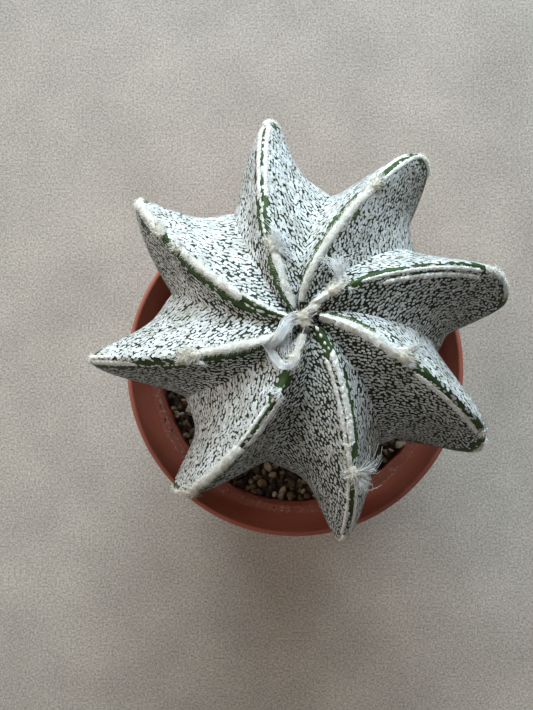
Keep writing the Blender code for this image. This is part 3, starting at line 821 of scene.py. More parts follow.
class Rib:
    """One rib's surface as a strip from valley to valley, with its latitudes and its stripes."""

    def __init__(self, tree, index):
        after = flank_points(tree, index, 1)
        before = flank_points(tree, index, -1)
        self.points = np.concatenate([before[:0:-1], after])
        share = np.linspace(0.0, 1.0, FLANK_ROWS) / BODY_SHARE
        self.latitudes = 90.0 - np.minimum(share, 1.0) * (90.0 - FOOT_LATITUDE)
        self.body = share <= 1.0
        down = np.gradient(self.points, axis=1)
        self.down = unit(down)
        self.normals = unit(np.cross(np.gradient(self.points, axis=0), down))
        if self.normals[:, FLANK_ROWS // 3, 2].mean() < 0:
            self.normals = -self.normals
        self.normals[:, 0] = (0.0, 0.0, 1.0)
        crest = self.points[FLANK_COLUMNS - 1]
        way = unit(np.gradient(crest, axis=0)[:, :2])
        gap = self.points - crest
        seen = way[:, 1] * gap[:, :, 0] - way[:, 0] * gap[:, :, 1]
        real = np.linalg.norm(gap, axis=2)
        side = np.where(np.arange(2 * FLANK_COLUMNS - 1) < FLANK_COLUMNS - 1, -1.0, 1.0)[:, None]
        self.beside = side * np.maximum(np.abs(seen), LEAST_DISTANCE_SHARE * real) / MM

    def place(self, latitude, offset):
        """Point, normal and downward direction at a latitude, so far in millimetres beside the crest."""
        rows = np.arange(FLANK_ROWS)[self.body]
        row = np.interp(-latitude, -self.latitudes[self.body], rows)
        low = min(int(row), FLANK_ROWS - 2)
        part = row - low
        beside = self.beside[:, low] * (1 - part) + self.beside[:, low + 1] * part
        column = np.interp(offset, beside, np.arange(len(beside)))
        left = min(int(column), len(beside) - 2)
        rest = column - left
        result = []
        for grid in (self.points, self.normals, self.down):
            first = grid[left, low] * (1 - rest) + grid[left + 1, low] * rest
            second = grid[left, low + 1] * (1 - rest) + grid[left + 1, low + 1] * rest
            result.append(Vector(first * (1 - part) + second * part))
        return result[0], result[1].normalized(), result[2].normalized()

    def stripes(self, marks):
        """How much each point lies in one of the marked stripes, from 0 to 1."""
        inside = np.zeros(self.beside.shape)
        waver = np.array([[noise.noise(Vector(point) * WAVER_SCALE) for point in column]
                          for column in self.points])
        for high, low, start, end, wide, narrow in marks:
            share = np.clip((high - self.latitudes) / (high - low), 0.0, 1.0)
            middle = start + (end - start) * share
            half = (wide + (narrow - wide) * share) * STRIPE_HALF[0] + STRIPE_HALF[1]
            ends = np.clip((high - self.latitudes) / STRIPE_END + 0.5, 0.0, 1.0)
            ends = ends * np.clip((self.latitudes - low) / STRIPE_END + 0.5, 0.0, 1.0)
            gap = half * ends - np.abs(self.beside - middle) + STRIPE_WAVER * waver
            inside = np.maximum(inside, np.clip(gap / STRIPE_EDGE + 0.5, 0.0, 1.0) * (ends > 0.05))
        return inside


def skin_finish():
    """Green skin: light in the bare stripes, nearly black between flecks as painted shade of the flecks,
    brown and corky at the foot.
    """
    finish = Finish("skin", 0.6, 0.15)
    cloud = finish.grain(260.0, 4.0)
    green = finish.ramp(cloud, (0.3, (0.016, 0.036, 0.009)), (0.7, (0.040, 0.074, 0.020)))
    # Painted shade: between the flecks the skin is drawn nearly black, for the shade the flecks throw on it.
    dark = finish.ramp(cloud, (0.3, (0.007, 0.010, 0.005)), (0.7, (0.018, 0.025, 0.011)))
    colour = finish.mixed(finish.mark("bare"), dark, green)
    cork = (finish.height() + cloud * CORK_WAVER).ranged(*CORK_HEIGHTS)
    brown = finish.ramp(finish.grain(500.0, 5.0, 0.7), (0.3, (0.10, 0.055, 0.025)), (0.7, (0.26, 0.17, 0.09)))
    colour = finish.mixed(cork, colour, brown)
    return finish.finished(colour, (finish.grain(1300.0, 4.0), 0.4, 0.1 * MM))


flank = flank_tree()
ribs = [Rib(flank, index) for index in range(len(RIBS))]
strip_faces = sheet_faces(2 * FLANK_COLUMNS - 1, FLANK_ROWS)
strips = []
for rib, marks in zip(ribs, BARE):
    rib.bare = rib.stripes(marks)
    strips.append(plain_mesh("strip", rib.points.reshape(-1, 3), strip_faces, bare=rib.bare))
skin = joined("cactus_body", strips, skin_finish())
with edited(skin.data) as shape:
    bmesh.ops.remove_doubles(shape, verts=shape.verts, dist=SKIN_WELD)
    bmesh.ops.dissolve_degenerate(shape, edges=shape.edges, dist=SKIN_SLIVER)
face_outwards(skin, 80.0)
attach(skin, "root")
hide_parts("cactus")


# Flecks: tiny white tufts of matted hair that are part of the skin and cover it all but the bare
# stripes. They lie in streams that run out of the valleys and along the crests.
FLECK_SIZE = (1.34, 0.84, 0.21)
FLECK_SINK = 0.04
FLECK_SPACING = 0.76 * MM
FLECK_KINDS = 7
FLECK_CORNERS = 6
FLECK_SQUARENESS = 0.8
FLECK_BEND = 0.25
FLECK_FOOT = (-50.0, -40.0)
BARE_SHARE = 0.93
CROWN_CLEARING = 3.0
CREST_BELT = 5.0
CREST_GAIN = 0.06
HIGH_LATITUDES = (50.0, 78.0)
HIGH_LOSS = 0.20
# Flecks shrink on flanks that face away from the window, partly as painted shade.
SHADED_SIDE = (0.2, 1.3)
SHADED_SIDE_LOSS = 0.24
FLECK_REACH = 1.11
STREAM_ANGLES = (12.0, 66.0)
STREAM_REACH = 0.9
STREAM_EASE = 0.8


def cover_tree():
    """Small shapes all over a surface, lying along its streams and kept off its bare parts."""
    tree = Maker("Cover", {
        "Kinds": "Collection", "Spacing": 0.001, "Density": 3.0e6, "Smallest": 0.8, "Largest": 1.2,
        "Swing": 0.3, "Tilt": 0.0, "Tones": 0.5, "Seed": 1})
    points = tree.scattered(tree.given("Density"), tree.mark("keep"))
    along = tree.step("FunctionNodeAlignRotationToVector", {
        "Rotation": points.output("Rotation"), "Vector": tree.mark("lay", "FLOAT_VECTOR")},
        axis="X", pivot_axis="Z")
    swing = tree.drawn(tree.given("Swing") * -1.0, tree.given("Swing"), 21)
    turn = tree.step("ShaderNodeCombineXYZ", {"Y": tree.given("Tilt"), "Z": swing})
    way = tree.step("FunctionNodeRotateRotation", {
        "Rotation": along, "Rotate By": tree.step("FunctionNodeEulerToRotation", {0: turn})},
        rotation_space="LOCAL")
    size = tree.drawn(tree.given("Smallest"), tree.given("Largest"), 33) * tree.mark("reach")
    tone = tree.mark("tone") + tree.drawn(-1.0, 1.0, 9) * tree.given("Tones")
    tree.finish(tree.toned(tree.strewn(points, way, size), tone))
    return tree


def fleck_kinds():
    """Low uneven domes, longer than wide and a little bent, to pick from."""
    kinds = bpy.data.collections.new("fleck_kinds")
    length, width, height = FLECK_SIZE
    for kind in range(FLECK_KINDS):
        draw = random.Random(70 + kind)
        ring = []
        for corner in range(FLECK_CORNERS):
            turn = 2 * math.pi * (corner + draw.uniform(-0.2, 0.2)) / FLECK_CORNERS
            swell = draw.uniform(0.8, 1.15)
            x, y = (math.copysign(abs(part) ** FLECK_SQUARENESS, part) * size / 2 * swell
                    for part, size in ((math.cos(turn), length), (math.sin(turn), width)))
            ring.append((x * MM, (y + FLECK_BEND * x * x) * MM, -FLECK_SINK * MM))
        top = (draw.uniform(-0.15, 0.15) * MM, 0.02 * MM, height * MM)
        faces = [(corner, (corner + 1) % FLECK_CORNERS, FLECK_CORNERS) for corner in range(FLECK_CORNERS)]
        mesh = plain_mesh("fleck_kind", ring + [top], faces + [tuple(reversed(range(FLECK_CORNERS)))])
        mesh.shade_smooth()
        for edge in mesh.edges:
            edge.use_edge_sharp = FLECK_CORNERS not in edge.vertices
        kinds.objects.link(bpy.data.objects.new(f"fleck_kind_{kind}", mesh))
    return kinds


def fleck_finish():
    """White matted hair, a little greyer from tuft to tuft."""
    finish = Finish("flecks", 0.85, 0.3)
    colour = finish.ramp(finish.mark("tone"), (0.0, (0.36, 0.36, 0.34)), (0.5, (0.475, 0.48, 0.475)),
                         (1.0, (0.59, 0.60, 0.60)))
    soiled = finish.ramp(finish.grain(190.0, 4.0), (0.35, (0.78, 0.76, 0.70)), (0.6, 1.0))
    colour = finish.mixed(1.0, colour, soiled, "MULTIPLY")
    return finish.finished(colour, (finish.grain(3800.0), 0.6, 0.1 * MM))


def passed(numbers, start, end):
    """How far numbers have gone from start to end, from 0 to 1."""
    return np.clip((numbers - start) / (end - start), 0.0, 1.0)


def stream(rib):
    """Direction of the flecks: along the crest beside it, and out of the valley towards it further off."""
    side = np.sign(rib.beside)[:, :, None]
    across = unit(np.gradient(rib.points, axis=0))
    away = np.abs(rib.beside) / np.maximum(np.abs(rib.beside)[[0, -1]].max(axis=0), 1e-6)
    start, end = STREAM_ANGLES
    turn = start + (end - start) * passed(away, 0.0, STREAM_REACH) ** STREAM_EASE
    turn = np.radians(turn)[:, :, None]
    return rib.down * np.cos(turn) - side * across * np.sin(turn)


def fleck_sheet(rib):
    """The rib with what its flecks follow: where they grow, how they lie, and their size and tone. They
    are smaller towards the crown and on flanks that face down the picture, away from the window, and larger
    by the crests. Their shrinking on those flanks is partly how they grow and partly painted shade, as more
    nearly black skin shows there."""
    keep = (1.0 - BARE_SHARE * rib.bare) * passed(rib.latitudes, *FLECK_FOOT) * rib.body
    keep = keep * (np.abs(rib.latitudes - 90.0) > CROWN_CLEARING)
    near = 1.0 - passed(np.abs(rib.beside), 0.0, CREST_BELT)
    high = passed(rib.latitudes, *HIGH_LATITUDES)
    # Partly painted shade: flecks shrink on flanks that face away from the window, so more nearly black skin
    # shows.
    away = np.clip(SHADED_SIDE[0] - SHADED_SIDE[1] * rib.normals[:, :, 1], 0.0, 1.0)
    reach = (FLECK_REACH + CREST_GAIN * near) * (1.0 - HIGH_LOSS * high) * (1.0 - SHADED_SIDE_LOSS * away)
    return plain_mesh("sheet", rib.points.reshape(-1, 3), strip_faces, keep=keep, reach=reach,
                      tone=np.full(keep.shape, 0.5), lay=stream(rib))


cover = cover_tree()
tufts = fleck_kinds()
fleck_skin = fleck_finish()
for index, rib in enumerate(ribs):
    flecks = new_item(f"flecks_{index + 1}", cover.grown(fleck_sheet(rib), {
        "Kinds": tufts, "Spacing": FLECK_SPACING * 1.0, "Finish": fleck_skin,
        "Seed": 11 + index}), fleck_skin)
    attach(flecks, "root")
    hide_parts("cactus")


# Crest wool: cream felt that the growing points bear, in strands along the crests, in thick tufts where
# buds sit and over the crown. It lies on the skin, with fine hairs all over and a few long loose ones.

# Strands of felt for each rib, given like the bare stripes.
FELT = (
    ((86, 69, 1.0, 1.0, 2.2, 3.0), (54, 20, -1.2, -1.2, 1.3, 1.3), (56, 20, 0.8, 0.8, 1.3, 1.3),
     (20, -2, 0.0, 0.0, 2.4, 2.4)),
    ((86, 62, 0.2, 0.25, 1.9, 2.9), (63, 47, 0.2, 0.2, 2.6, 3.0), (44, 6, 0.8, 0.6, 1.2, 1.2),
     (44, 20, -2.0, -1.6, 1.4, 1.4), (14, -4, 0.3, 0.3, 2.6, 2.6)),
    ((86, 77, -0.5, -0.5, 3.3, 3.3), (73, 32, 0.4, 1.2, 0.9, 1.3), (66, 30, 2.3, 2.9, 1.2, 1.3),
     (30, 4, 0.2, 0.2, 2.5, 2.5), (6, -8, -0.8, -0.8, 1.2, 1.2)),
    ((86, 62, 0.0, 0.2, 3.0, 3.4), (56, 18, 1.9, 2.1, 1.3, 1.3), (8, -5, -0.3, -0.3, 2.4, 2.4)),
    ((79, 54, -0.2, -0.3, 1.7, 1.9), (77, 52, 1.8, 1.3, 1.1, 1.2), (55, 47, 0.9, 0.6, 1.4, 1.4),
     (42, 12, 1.1, 1.1, 1.0, 1.0), (40, 12, -1.0, -1.0, 0.8, 0.8), (12, -4, 0.0, 0.0, 1.8, 1.8)),
    ((86, 77, 0.0, 0.4, 2.6, 2.6), (66, 50, 0.9, 0.7, 1.0, 1.0), (68, 50, -1.4, -1.4, 1.6, 1.6),
     (51, 22, 0.2, 0.2, 3.2, 2.8), (16, -4, 0.0, 0.0, 2.4, 2.4)),
    ((86, 62, 0.2, 0.2, 2.6, 2.8), (38, 10, -1.4, -0.9, 1.5, 1.5), (30, 8, 0.4, 0.4, 1.0, 1.0),
     (10, -4, 0.0, 0.0, 2.2, 2.2)),
    ((86, 73, 0.7, 0.7, 0.9, 0.9), (74, 52, -0.1, 0.0, 3.0, 2.4), (52, 48, 0.6, 0.8, 1.9, 1.2),
     (38, 6, 0.2, 0.2, 2.6, 2.4)),
)
# Tufts for each rib: latitude, millimetres beside the crest, length, width and height, times MAT_SHAPE.
TUFTS = (
    ((70, 0.6, 4.6, 3.4, 1.6),),
    ((47, 0.2, 4.2, 3.4, 1.8),),
    ((78, -0.8, 5.0, 4.2, 1.9), (24, 0.2, 2.6, 2.4, 1.1)),
    ((62, -0.4, 5.0, 4.0, 2.0), (17, 0.8, 2.4, 2.2, 1.1)),
    ((45, 0.1, 4.4, 3.6, 1.9),),
    ((79, 0.3, 4.2, 3.2, 1.7), (20, -0.4, 3.8, 3.2, 1.6)),
    ((59, -0.2, 6.4, 4.2, 2.0),),
    ((50, 0.0, 3.4, 2.6, 1.3), (40, -0.2, 5.0, 3.5, 1.8)),
)
# Mats over the crown: millimetres east and north of its middle, length, width and height.
CROWN_WOOL = (
    (2.3, 2.2, 3.6, 2.2, 0.9), (0.9, 1.0, 3.8, 2.6, 1.0), (-0.6, 0.1, 4.0, 3.0, 0.9),
    (-2.0, -0.6, 3.4, 2.6, 0.7), (0.4, -1.4, 2.8, 2.4, 0.5),
)
# Rows of small white beads in the bare stripes: rib, latitude from and to, millimetres beside the crest
# there, count and size.
BEADS = (
    (0, 65, 56, -0.8, -0.8, 7, 0.8), (4, 85, 77, 0.4, 0.4, 6, 0.8), (4, 55, 55, 1.2, 1.2, 1, 0.9),
    (5, 71, 66, 0.1, 0.5, 4, 0.7), (6, 56, 38, -2.4, -2.4, 16, 0.6), (7, 85, 74, -0.8, -1.4, 8, 0.8),
)
# Long loose hairs. A whisk springs from a tuft: rib, latitude and millimetres beside the crest, its
# direction in degrees from down the rib, how far it fans, its length, rise and number of hairs.
WHISKS = (
    (0, 71, 0.8, 42, 30, 7.0, 1.2, 110), (0, 68, 1.4, 20, 20, 4.6, 1.0, 50),
    (1, 46, 0.2, 25, 40, 2.6, 0.9, 30), (1, 47, -0.6, -60, 25, 2.2, 0.8, 16),
    (2, 77, -0.6, -50, 11, 11.0, 3.0, 110), (2, 76, 0.8, 40, 30, 3.0, 1.0, 20),
    (3, 61, -0.8, -62, 9, 6.8, 2.0, 50), (3, 60, 0.3, 30, 40, 2.6, 1.0, 20),
    (4, 45, -0.8, -62, 26, 8.0, 1.8, 60), (4, 44, -0.4, -25, 18, 6.4, 1.6, 36),
    (4, 46, 0.8, 70, 25, 2.8, 0.8, 14), (5, 71, 0.0, 10, 45, 3.6, 1.0, 50),
    (5, 20, -0.4, 10, 40, 2.0, 0.7, 24), (6, 60, -1.2, -82, 24, 3.2, 0.8, 34),
    (6, 58, 0.6, 60, 30, 2.2, 0.8, 24), (7, 40, 0.2, 30, 40, 2.2, 0.7, 30),
    (7, 50, 0.5, 60, 40, 2.0, 0.6, 16),
)
# A tress winds over the crown: its way in millimetres east and north of the crown's middle, its width,
# its height over the skin and number of hairs.
TRESSES = (
    (((-1.0, 0.4), (-3.6, -0.8), (-4.8, -3.0), (-5.0, -5.6), (-4.6, -8.0), (-4.2, -10.4)), 2.6, 1.1, 60),
    (((-3.4, -0.6), (-5.8, -4.6), (-7.8, -7.4), (-7.6, -9.8), (-5.8, -12.0), (-3.4, -12.5)), 1.8, 1.1, 54),
    (((-9.9, -6.0), (-8.2, -8.0), (-6.6, -10.8), (-4.6, -12.3), (-2.4, -11.4), (-0.8, -8.6)), 1.7, 1.2, 54),
    (((3.0, 2.6), (1.2, 1.2), (-0.6, 0.2), (-3.2, -0.8), (-4.6, -3.2)), 1.8, 1.5, 24),
)

# Strands wider than this are matted felt, and narrower ones are rows of knots. Each kind is given as the
# size and the tone of the hairs on it.
FELT_WIDTH = 1.8
STRAND_FELT = (0.75, 0.62)
STRAND_ROW = (0.4, 0.85)
TUFT_FELT = (1.2, 0.45)
CROWN_FELT = (1.0, 0.4)
BEAD_FELT = (0.2, 0.8)
ROW_FELT_TONE = 0.62
CROWN_WAY = Vector((0.85, 0.53, 0.0))
CREST_LENGTH_OF_RADIAN = 50.0

# How strands and mats are shaped: lengths in millimetres, angles in degrees, lumps as a depth and how
# many there are to the metre.
STRAND_STEP = 0.6
STRAND_ACROSS = 7
STRAND_WIDTH = 0.84
STRAND_TAPER = 1.4
STRAND_RISE = (0.14, 0.12)
STRAND_SINK = 0.3
BROAD_LUMPS = (0.5, 420.0)
FINE_LUMPS = (0.8, 1400.0)
MAT_SHAPE = (1.15, 0.88, 0.58)
MAT_RINGS = 5
MAT_SIDES = 12
MAT_TILTS = (-40.0, 28.0)
MAT_LUMPS = (0.35, 900.0)
MAT_LUMPS_ROUND = 1.7
BEAD_SHAPE = (1.5, 1.0, 0.35)
BEAD_SHAKE = (-0.4, 0.4)

# How hairs are shaped and spread, in shares and millimetres, with ranges from least to most.
FINE_HAIR_KINDS = 9
FINE_HAIR = (1.7, 0.15)
FINE_HAIR_CURL = 1.3
FINE_HAIR_STEPS = 3
HAIR_STEPS = 8
HAIR_THICKNESS = 0.085 * MM
HAIR_THINNING = 0.6
HAIR_TONES = (0.75, 1.6)
HAIR_STARTS = (0.0, 0.12)
HAIR_ENDS = (0.7, 1.0)
HAIR_SPREAD = 0.35
HAIR_LIFT = 0.16
HAIR_WAVE = (0.1, 0.3)
HAIR_WAVE_OF_WIDTH = 0.12
HAIR_BENDS = (9.0, 7.0)
WHISK_ROOT = 0.6
WHISK_SWERVE = 0.16
WHISK_LENGTHS = (0.45, 1.05)
WHISK_RISES = (0.5, 1.2)
WHISK_LOCK = 0.5
TRESS_REST_POINTS = 12


def wool_finish():
    """Cream wool: warm in its depths, paler on loose hairs."""
    finish = Finish("wool", 0.9, 0.2)
    colour = finish.ramp(
        finish.mark("tone"), (0.0, (0.38, 0.33, 0.24)), (0.4, (0.69, 0.635, 0.52)), (0.7, (0.74, 0.73, 0.69)),
        (1.0, (0.92, 0.93, 0.93)))
    stain = finish.ramp(finish.grain(420.0, 5.0), (0.38, (0.72, 0.70, 0.65)), (0.56, 1.0))
    colour = finish.mixed(0.8, colour, stain, "MULTIPLY")
    return finish.finished(colour, (finish.grain(2000.0, 4.0, 0.7), 1.0, 0.5 * MM))


def ring_faces(rings, size):
    """Faces of a closed loft: rings of the same size, with an end point before and after them."""
    faces = []
    for ring in range(rings - 1):
        for step in range(size):
            start = ring * size + step
            beside = ring * size + (step + 1) % size
            faces.append((start, beside, beside + size, start + size))
    first = rings * size
    for step in range(size):
        beside = (step + 1) % size
        faces.append((first, beside, step))
        faces.append((first + 1, (rings - 1) * size + step, (rings - 1) * size + beside))
    return faces


def strand(rib, mark):
    """One closed low mound of felt along a rib: its points, the way its hairs lie, and its faces."""
    high, low, start, end, wide, narrow = mark
    length = math.radians(high - low) * CREST_LENGTH_OF_RADIAN
    count = max(6, int(length / STRAND_STEP))
    points = []
    lays = []
    ends = []
    for row in range(count + 1):
        share = row / count
        latitude = high + (low - high) * share
        middle = start + (end - start) * share
        width = STRAND_WIDTH * (wide + (narrow - wide) * share)
        close = min(1.0, min(share, 1.0 - share) * length / width * STRAND_TAPER)
        taper = math.sqrt(max(0.0, 1.0 - (1.0 - close) ** 2))
        crest, normal, down = rib.place(latitude, middle)
        lumps = 1.0 + BROAD_LUMPS[0] * noise.noise(crest * BROAD_LUMPS[1])
        lumps = lumps + FINE_LUMPS[0] * noise.noise(crest * FINE_LUMPS[1])
        if row in (0, count):
            ends.append((crest + normal * 0.1 * MM, down))
            continue
        side = (rib.place(latitude, middle + 0.5)[0] - rib.place(latitude, middle - 0.5)[0]).normalized()
        for step in range(STRAND_ACROSS):
            across = -1.0 + step / ((STRAND_ACROSS - 1) / 2)
            offset = middle + across * width / 2.0 * taper * (0.6 + 0.4 * lumps)
            point, up, along = rib.place(latitude, offset)
            rise = STRAND_RISE[0] * width + STRAND_RISE[1]
            rise = rise * math.sqrt(max(0.0, 1.0 - across * across)) * taper * lumps
            points.append(point + up * (rise - 0.02) * MM)
            lays.append((along * 0.7 + side * across * 0.9).normalized())
        points.append(crest - normal * STRAND_SINK * MM)
        lays.append(down)
    for point, lay in ends:
        points.append(point)
        lays.append(lay)
    return points, lays, ring_faces(count - 1, STRAND_ACROSS + 1)


def mat(point, normal, down, length, width, height):
    """One rounded mat of wool on the skin, with an uneven outline, given as a strand is."""
    side = normal.cross(down)
    points = []
    lays = []
    for ring in range(MAT_RINGS):
        tilt = math.radians(MAT_TILTS[0] + ring * MAT_TILTS[1])
        for step in range(MAT_SIDES):
            turn = 2 * math.pi * step / MAT_SIDES
            out = Vector((math.cos(turn) * math.cos(tilt), math.sin(turn) * math.cos(tilt), math.sin(tilt)))
            reach = 1.0 + MAT_LUMPS[0] * noise.noise(out * MAT_LUMPS_ROUND + point * MAT_LUMPS[1])
            place = down * out.x * length / 2 + side * out.y * width / 2 + normal * out.z * height
            points.append(point + place * reach * MM)
            lays.append((down * 1.3 + (down * out.x + side * out.y) * 0.9).normalized())
    points += [point - normal * 0.7 * height * MM, point + normal * height * MM]
    lays += [down, (down + side).normalized()]
    return points, lays, ring_faces(MAT_RINGS, MAT_SIDES)


def hair_kinds():
    """Flat tapering hairs that lie along X, each bent in its own way."""
    kinds = bpy.data.collections.new("hair_kinds")
    length, width = FINE_HAIR
    for kind in range(FINE_HAIR_KINDS):
        draw = random.Random(90 + kind)
        bend = draw.uniform(-FINE_HAIR_CURL, FINE_HAIR_CURL)
        arch = draw.uniform(0.1, 0.4)
        points = []
        for step in range(FINE_HAIR_STEPS + 1):
            share = step / FINE_HAIR_STEPS
            turn = bend * share
            x = length * share * math.cos(turn * 0.8)
            y = length * share * math.sin(turn * 0.8)
            z = length * arch * math.sin(math.pi * min(share * 1.15, 1.0)) * 0.6
            half = width / 2.0 * (1.0 - share)
            for side in (-half, half) if step < FINE_HAIR_STEPS else (0.0,):
                points.append(((x - side * math.sin(turn)) * MM, (y + side * math.cos(turn)) * MM, z * MM))
        mesh = plain_mesh("hair_kind", points, [(0, 2, 3, 1), (2, 4, 5, 3), (4, 6, 5)])
        kinds.objects.link(bpy.data.objects.new(f"hair_kind_{kind}", mesh))
    return kinds


def felt_mesh(parts):
    """Lofts as one mesh, with the direction, size and tone of the hairs on them."""
    points = []
    lays = []
    faces = []
    reach = []
    tones = []
    for part_points, part_lays, part_faces, part_reach, part_tone in parts:
        faces += [tuple(corner + len(points) for corner in face) for face in part_faces]
        points += part_points
        lays += part_lays
        reach += [part_reach] * len(part_points)
        tones += [part_tone] * len(part_points)
    return plain_mesh("felt", points, faces, lay=lays, keep=np.ones(len(points)), reach=reach, tone=tones)


def hair_lines(anchors, width, count, draw):
    """Wavy lines along a smooth way through the anchors: points, with the hair's thickness at each."""
    anchors = [Vector(anchor) for anchor in anchors]
    way = [anchors[0]] + anchors + [anchors[-1]]
    lines = []
    for _ in range(count):
        beside = draw.gauss(0.0, HAIR_SPREAD)
        above = draw.uniform(0.0, 1.0)
        draw.gauss(0.0, 1.0)  # passed over, so that the hairs after it stay as they are
        start = draw.uniform(*HAIR_STARTS)
        end = draw.uniform(*HAIR_ENDS)
        phase = draw.uniform(0.0, FULL_TURN)
        wave = draw.uniform(HAIR_WAVE[0], HAIR_WAVE[1] + HAIR_WAVE_OF_WIDTH * width) * MM
        line = []
        for step in range(HAIR_STEPS + 1):
            share = start + (end - start) * step / HAIR_STEPS
            place = share * (len(anchors) - 1)
            index = min(int(place), len(anchors) - 2)
            rest = place - index
            a, b, c, d = way[index:index + 4]
            point = 0.5 * (2 * b + (c - a) * rest + (2 * a - 5 * b + 4 * c - d) * rest ** 2
                           + (3 * b - a - 3 * c + d) * rest ** 3)
            ahead = (c - b).normalized()
            side = ahead.cross(Vector((0.0, 0.0, 1.0))).normalized()
            lift = ahead.cross(side) * -1.0
            out = beside * width * MM + wave * math.sin(phase + share * HAIR_BENDS[0]) * share
            rise = above * width * HAIR_LIFT * MM + wave * math.cos(phase + share * HAIR_BENDS[1]) * 0.5
            line.append((point + side * out + lift * rise, 1.0 - HAIR_THINNING * step / HAIR_STEPS))
        lines.append(line)
    return lines


def whisk_lines(rib, latitude, offset, direction, fan, length, rise, count, draw):
    """Loose hairs that fan out of one tuft."""
    point, normal, down = rib.place(latitude, offset)
    side = (rib.place(latitude, offset + 1.0)[0] - point).normalized()
    turn = math.radians(direction)
    lines = []
    for _ in range(count):
        bend = turn + math.radians(draw.gauss(0.0, fan))
        way = down * math.cos(bend) + side * math.sin(bend)
        swerve = (side * math.cos(bend) - down * math.sin(bend)) * draw.gauss(0.0, WHISK_SWERVE)
        reach = length * draw.uniform(*WHISK_LENGTHS) * MM
        high = rise * draw.uniform(*WHISK_RISES) * MM
        lines += hair_lines([
            point - way * WHISK_ROOT * MM + normal * 0.4 * MM,
            point + way * reach * 0.35 + normal * (0.4 * MM + high * 0.7),
            point + (way + swerve * 0.7) * reach * 0.7 + normal * (0.3 * MM + high),
            point + (way * 0.95 + swerve * 2.0) * reach + normal * high * 0.7], WHISK_LOCK, 1, draw)
    return lines


def tress_lines(anchors, width, height, count, draw):
    """Loose hairs that wind over the crown."""
    grid = np.concatenate([rib.points[:, :FLANK_ROWS // 3].reshape(-1, 3) for rib in ribs])
    way = []
    for east, north in anchors:
        x = crown.x + east * MM
        y = crown.y + north * MM
        near = np.argsort((grid[:, 0] - x) ** 2 + (grid[:, 1] - y) ** 2)[:TRESS_REST_POINTS]
        way.append((x, y, grid[near, 2].max() + height * MM))
    return hair_lines(way, width, count, draw)


def hair_tree():
    """Thin tapering hairs along lines."""
    tree = Maker("Loose hairs", {"Thickness": 0.00005, "Sides": 3})
    lines = tree.step("GeometryNodeMeshToCurve", {"Mesh": tree.given("Geometry")})
    ring = tree.step("GeometryNodeCurvePrimitiveCircle", {
        "Resolution": tree.given("Sides"), "Radius": tree.given("Thickness")})
    tree.finish(tree.step("GeometryNodeCurveToMesh", {
        "Curve": lines, "Profile Curve": ring, "Scale": tree.mark("girth"), "Fill Caps": True}))
    return tree


def line_mesh(lines, draw):
    """Lines as one mesh of edges, with their thickness and tone."""
    points = [point for line in lines for point, _ in line]
    edges = [(start + step, start + step + 1)
             for start in range(0, len(points), HAIR_STEPS + 1) for step in range(HAIR_STEPS)]
    girths = [girth for line in lines for _, girth in line]
    tones = [tone for line in lines for tone in [draw.uniform(*HAIR_TONES)] * len(line)]
    return plain_mesh("lines", points, edges=edges, girth=girths, tone=tones)


wool = wool_finish()
felt_parts = []
row_parts = []
for rib, marks, mats in zip(ribs, FELT, TUFTS):
    for mark in marks:
        if mark[4] > FELT_WIDTH:
            felt_parts.append((*strand(rib, mark), *STRAND_FELT))
        else:
            row_parts.append((*strand(rib, mark), *STRAND_ROW))
    for latitude, offset, *size in mats:
        size = [share * number for share, number in zip(MAT_SHAPE, size)]
        felt_parts.append((*mat(*rib.place(latitude, offset), *size), *TUFT_FELT))
crown = Vector(ribs[0].points[FLANK_COLUMNS - 1, 0])
for east, north, *size in CROWN_WOOL:
    middle = crown + Vector((east, north, 0.0)) * MM
    felt_parts.append((*mat(middle, Vector((0.0, 0.0, 1.0)), CROWN_WAY, *size), *CROWN_FELT))
draw = random.Random(61)
for index, high, low, start, end, count, size in BEADS:
    for step in range(count):
        share = step / max(count - 1, 1)
        along, aside, growth = Vector([draw.uniform(*BEAD_SHAKE) for _ in range(3)])
        place = ribs[index].place(
            high + (low - high) * share + 1.2 * along, start + (end - start) * share + 0.6 * aside)
        bead = [size * (1.0 + 0.7 * growth) * number for number in BEAD_SHAPE]
        row_parts.append((*mat(*place, *bead), *BEAD_FELT))
rows = felt_mesh(row_parts)
felt = new_item("felt", felt_mesh(felt_parts + [(*part[:4], ROW_FELT_TONE) for part in row_parts]), wool)
face_outwards(felt)
hair_base = felt.data.copy()
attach(felt, "root")
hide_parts("crest_wool")

hairs = new_item("wool_hairs", cover.grown(hair_base, {
    "Kinds": hair_kinds(), "Spacing": 0.29 * MM, "Density": 2.0e7, "Smallest": 0.6,
    "Largest": 1.3, "Swing": 1.1, "Tilt": -0.35, "Tones": 0.5, "Finish": wool, "Seed": 4}), wool)
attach(hairs, "root")
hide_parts("crest_wool")

knots = new_item("wool_knots", cover.grown(rows, {
    "Kinds": tufts, "Spacing": 0.5 * MM, "Density": 1.0e7, "Smallest": 1.2,
    "Largest": 2.2, "Swing": 0.7, "Tones": 0.35, "Finish": wool, "Seed": 6}), wool)
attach(knots, "root")
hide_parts("crest_wool")

draw = random.Random(31)
lines = []
for index, *whisk in WHISKS:
    lines += whisk_lines(ribs[index], *whisk, draw)
for tress in TRESSES:
    lines += tress_lines(*tress, draw)
loose = new_item("loose_hairs", hair_tree().grown(line_mesh(lines, draw), {
    "Thickness": HAIR_THICKNESS, "Finish": wool}), wool)
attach(loose, "root")
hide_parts("crest_wool")


# Floor: one plain pale grey sheet under the pot, with a faint cloud and fine specks. It isn't part of
# the object.
FLOOR_HALF = 1.5


def floor_finish():
    """Pale grey, a little cloudy and speckled."""
    finish = Finish("floor", 0.55, 0.4)
    tone = finish.ramp(finish.grain(30.0, 6.0), (0.3, (0.255, 0.222, 0.193)), (0.7, (0.335, 0.292, 0.254)))
    specks = finish.ramp(finish.grain(1300.0, 3.0, 0.7), (0.3, (0.48, 0.46, 0.43)), (0.7, (1.4, 1.38, 1.35)))
    return finish.finished(finish.mixed(1.0, tone, specks, "MULTIPLY"))


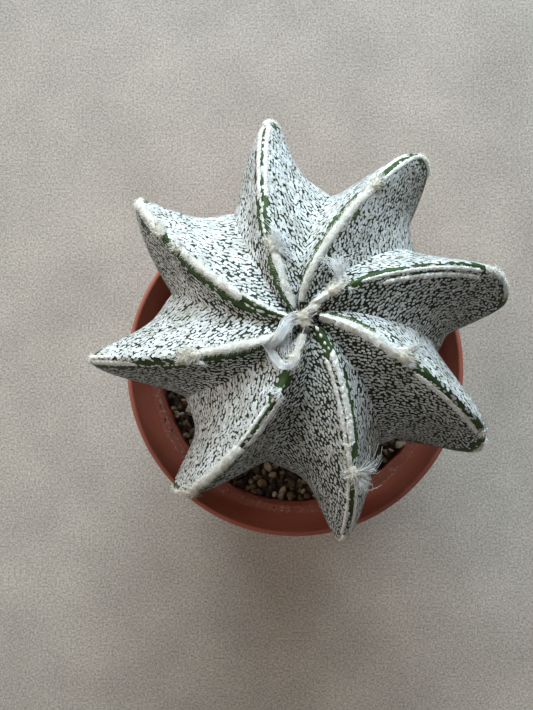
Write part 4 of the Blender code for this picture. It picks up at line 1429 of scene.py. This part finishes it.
corners = [(x * FLOOR_HALF, y * FLOOR_HALF, 0.0) for x, y in ((-1, -1), (1, -1), (1, 1), (-1, 1))]
floor = new_item("floor", plain_mesh("floor", corners, [(0, 1, 2, 3)]), floor_finish())


# Light: a wide cool window beyond the top of the picture, a weaker warm lamp on the left and a pale
# room all round.
LIT_SPOT = (0.0, 0.0, 0.1)
ROOM_COLOUR = (0.68, 0.67, 0.65, 1.0)
ROOM_STRENGTH = 0.43


def area_light(name, place, size, power, colour):
    """A soft lamp that points at the plant."""
    lamp = bpy.data.lights.new(name, "AREA")
    lamp.shape = "RECTANGLE"
    lamp.size = size[0]
    lamp.size_y = size[1]
    lamp.energy = power
    lamp.color = colour
    item = bpy.data.objects.new(name, lamp)
    item.location = place
    item.rotation_euler = (Vector(LIT_SPOT) - Vector(place)).to_track_quat("-Z", "Y").to_euler()
    bpy.context.scene.collection.objects.link(item)


area_light("window", (0.08, 1.35, 0.85), (1.5, 0.9), 68.0, (0.72, 0.89, 1.0))
area_light("room", (-1.1, 0.4, 0.8), (0.9, 0.9), 10.5, (1.0, 0.94, 0.86))
world = bpy.data.worlds.new("room_light")
world.use_nodes = True
world.node_tree.nodes["Background"].inputs["Color"].default_value = ROOM_COLOUR
world.node_tree.nodes["Background"].inputs["Strength"].default_value = ROOM_STRENGTH
bpy.context.scene.world = world
bpy.context.scene.view_settings.view_transform = "Standard"


# Camera: held almost straight over the pot, as in the picture, and tipped a little to one side.
CAMERA_PLACE = (3.334 * MM, -7.692 * MM, 436.03 * MM)
CAMERA_RIGHT = Vector((0.99941, 0.00113, -0.03425))
CAMERA_UP = Vector((0.0, 0.99946, 0.03292))
CAMERA_LENS = 56.93
CAMERA_SENSOR = 36.0

camera = bpy.data.cameras.new("camera")
camera.lens = CAMERA_LENS
camera.sensor_width = CAMERA_SENSOR
camera_item = bpy.data.objects.new("camera", camera)
back = CAMERA_RIGHT.cross(CAMERA_UP).normalized()
up = back.cross(CAMERA_RIGHT).normalized()
turn = Matrix((CAMERA_RIGHT.normalized(), up, back)).transposed().to_4x4()
camera_item.matrix_world = Matrix.Translation(CAMERA_PLACE) @ turn
bpy.context.scene.collection.objects.link(camera_item)
bpy.context.scene.camera = camera_item
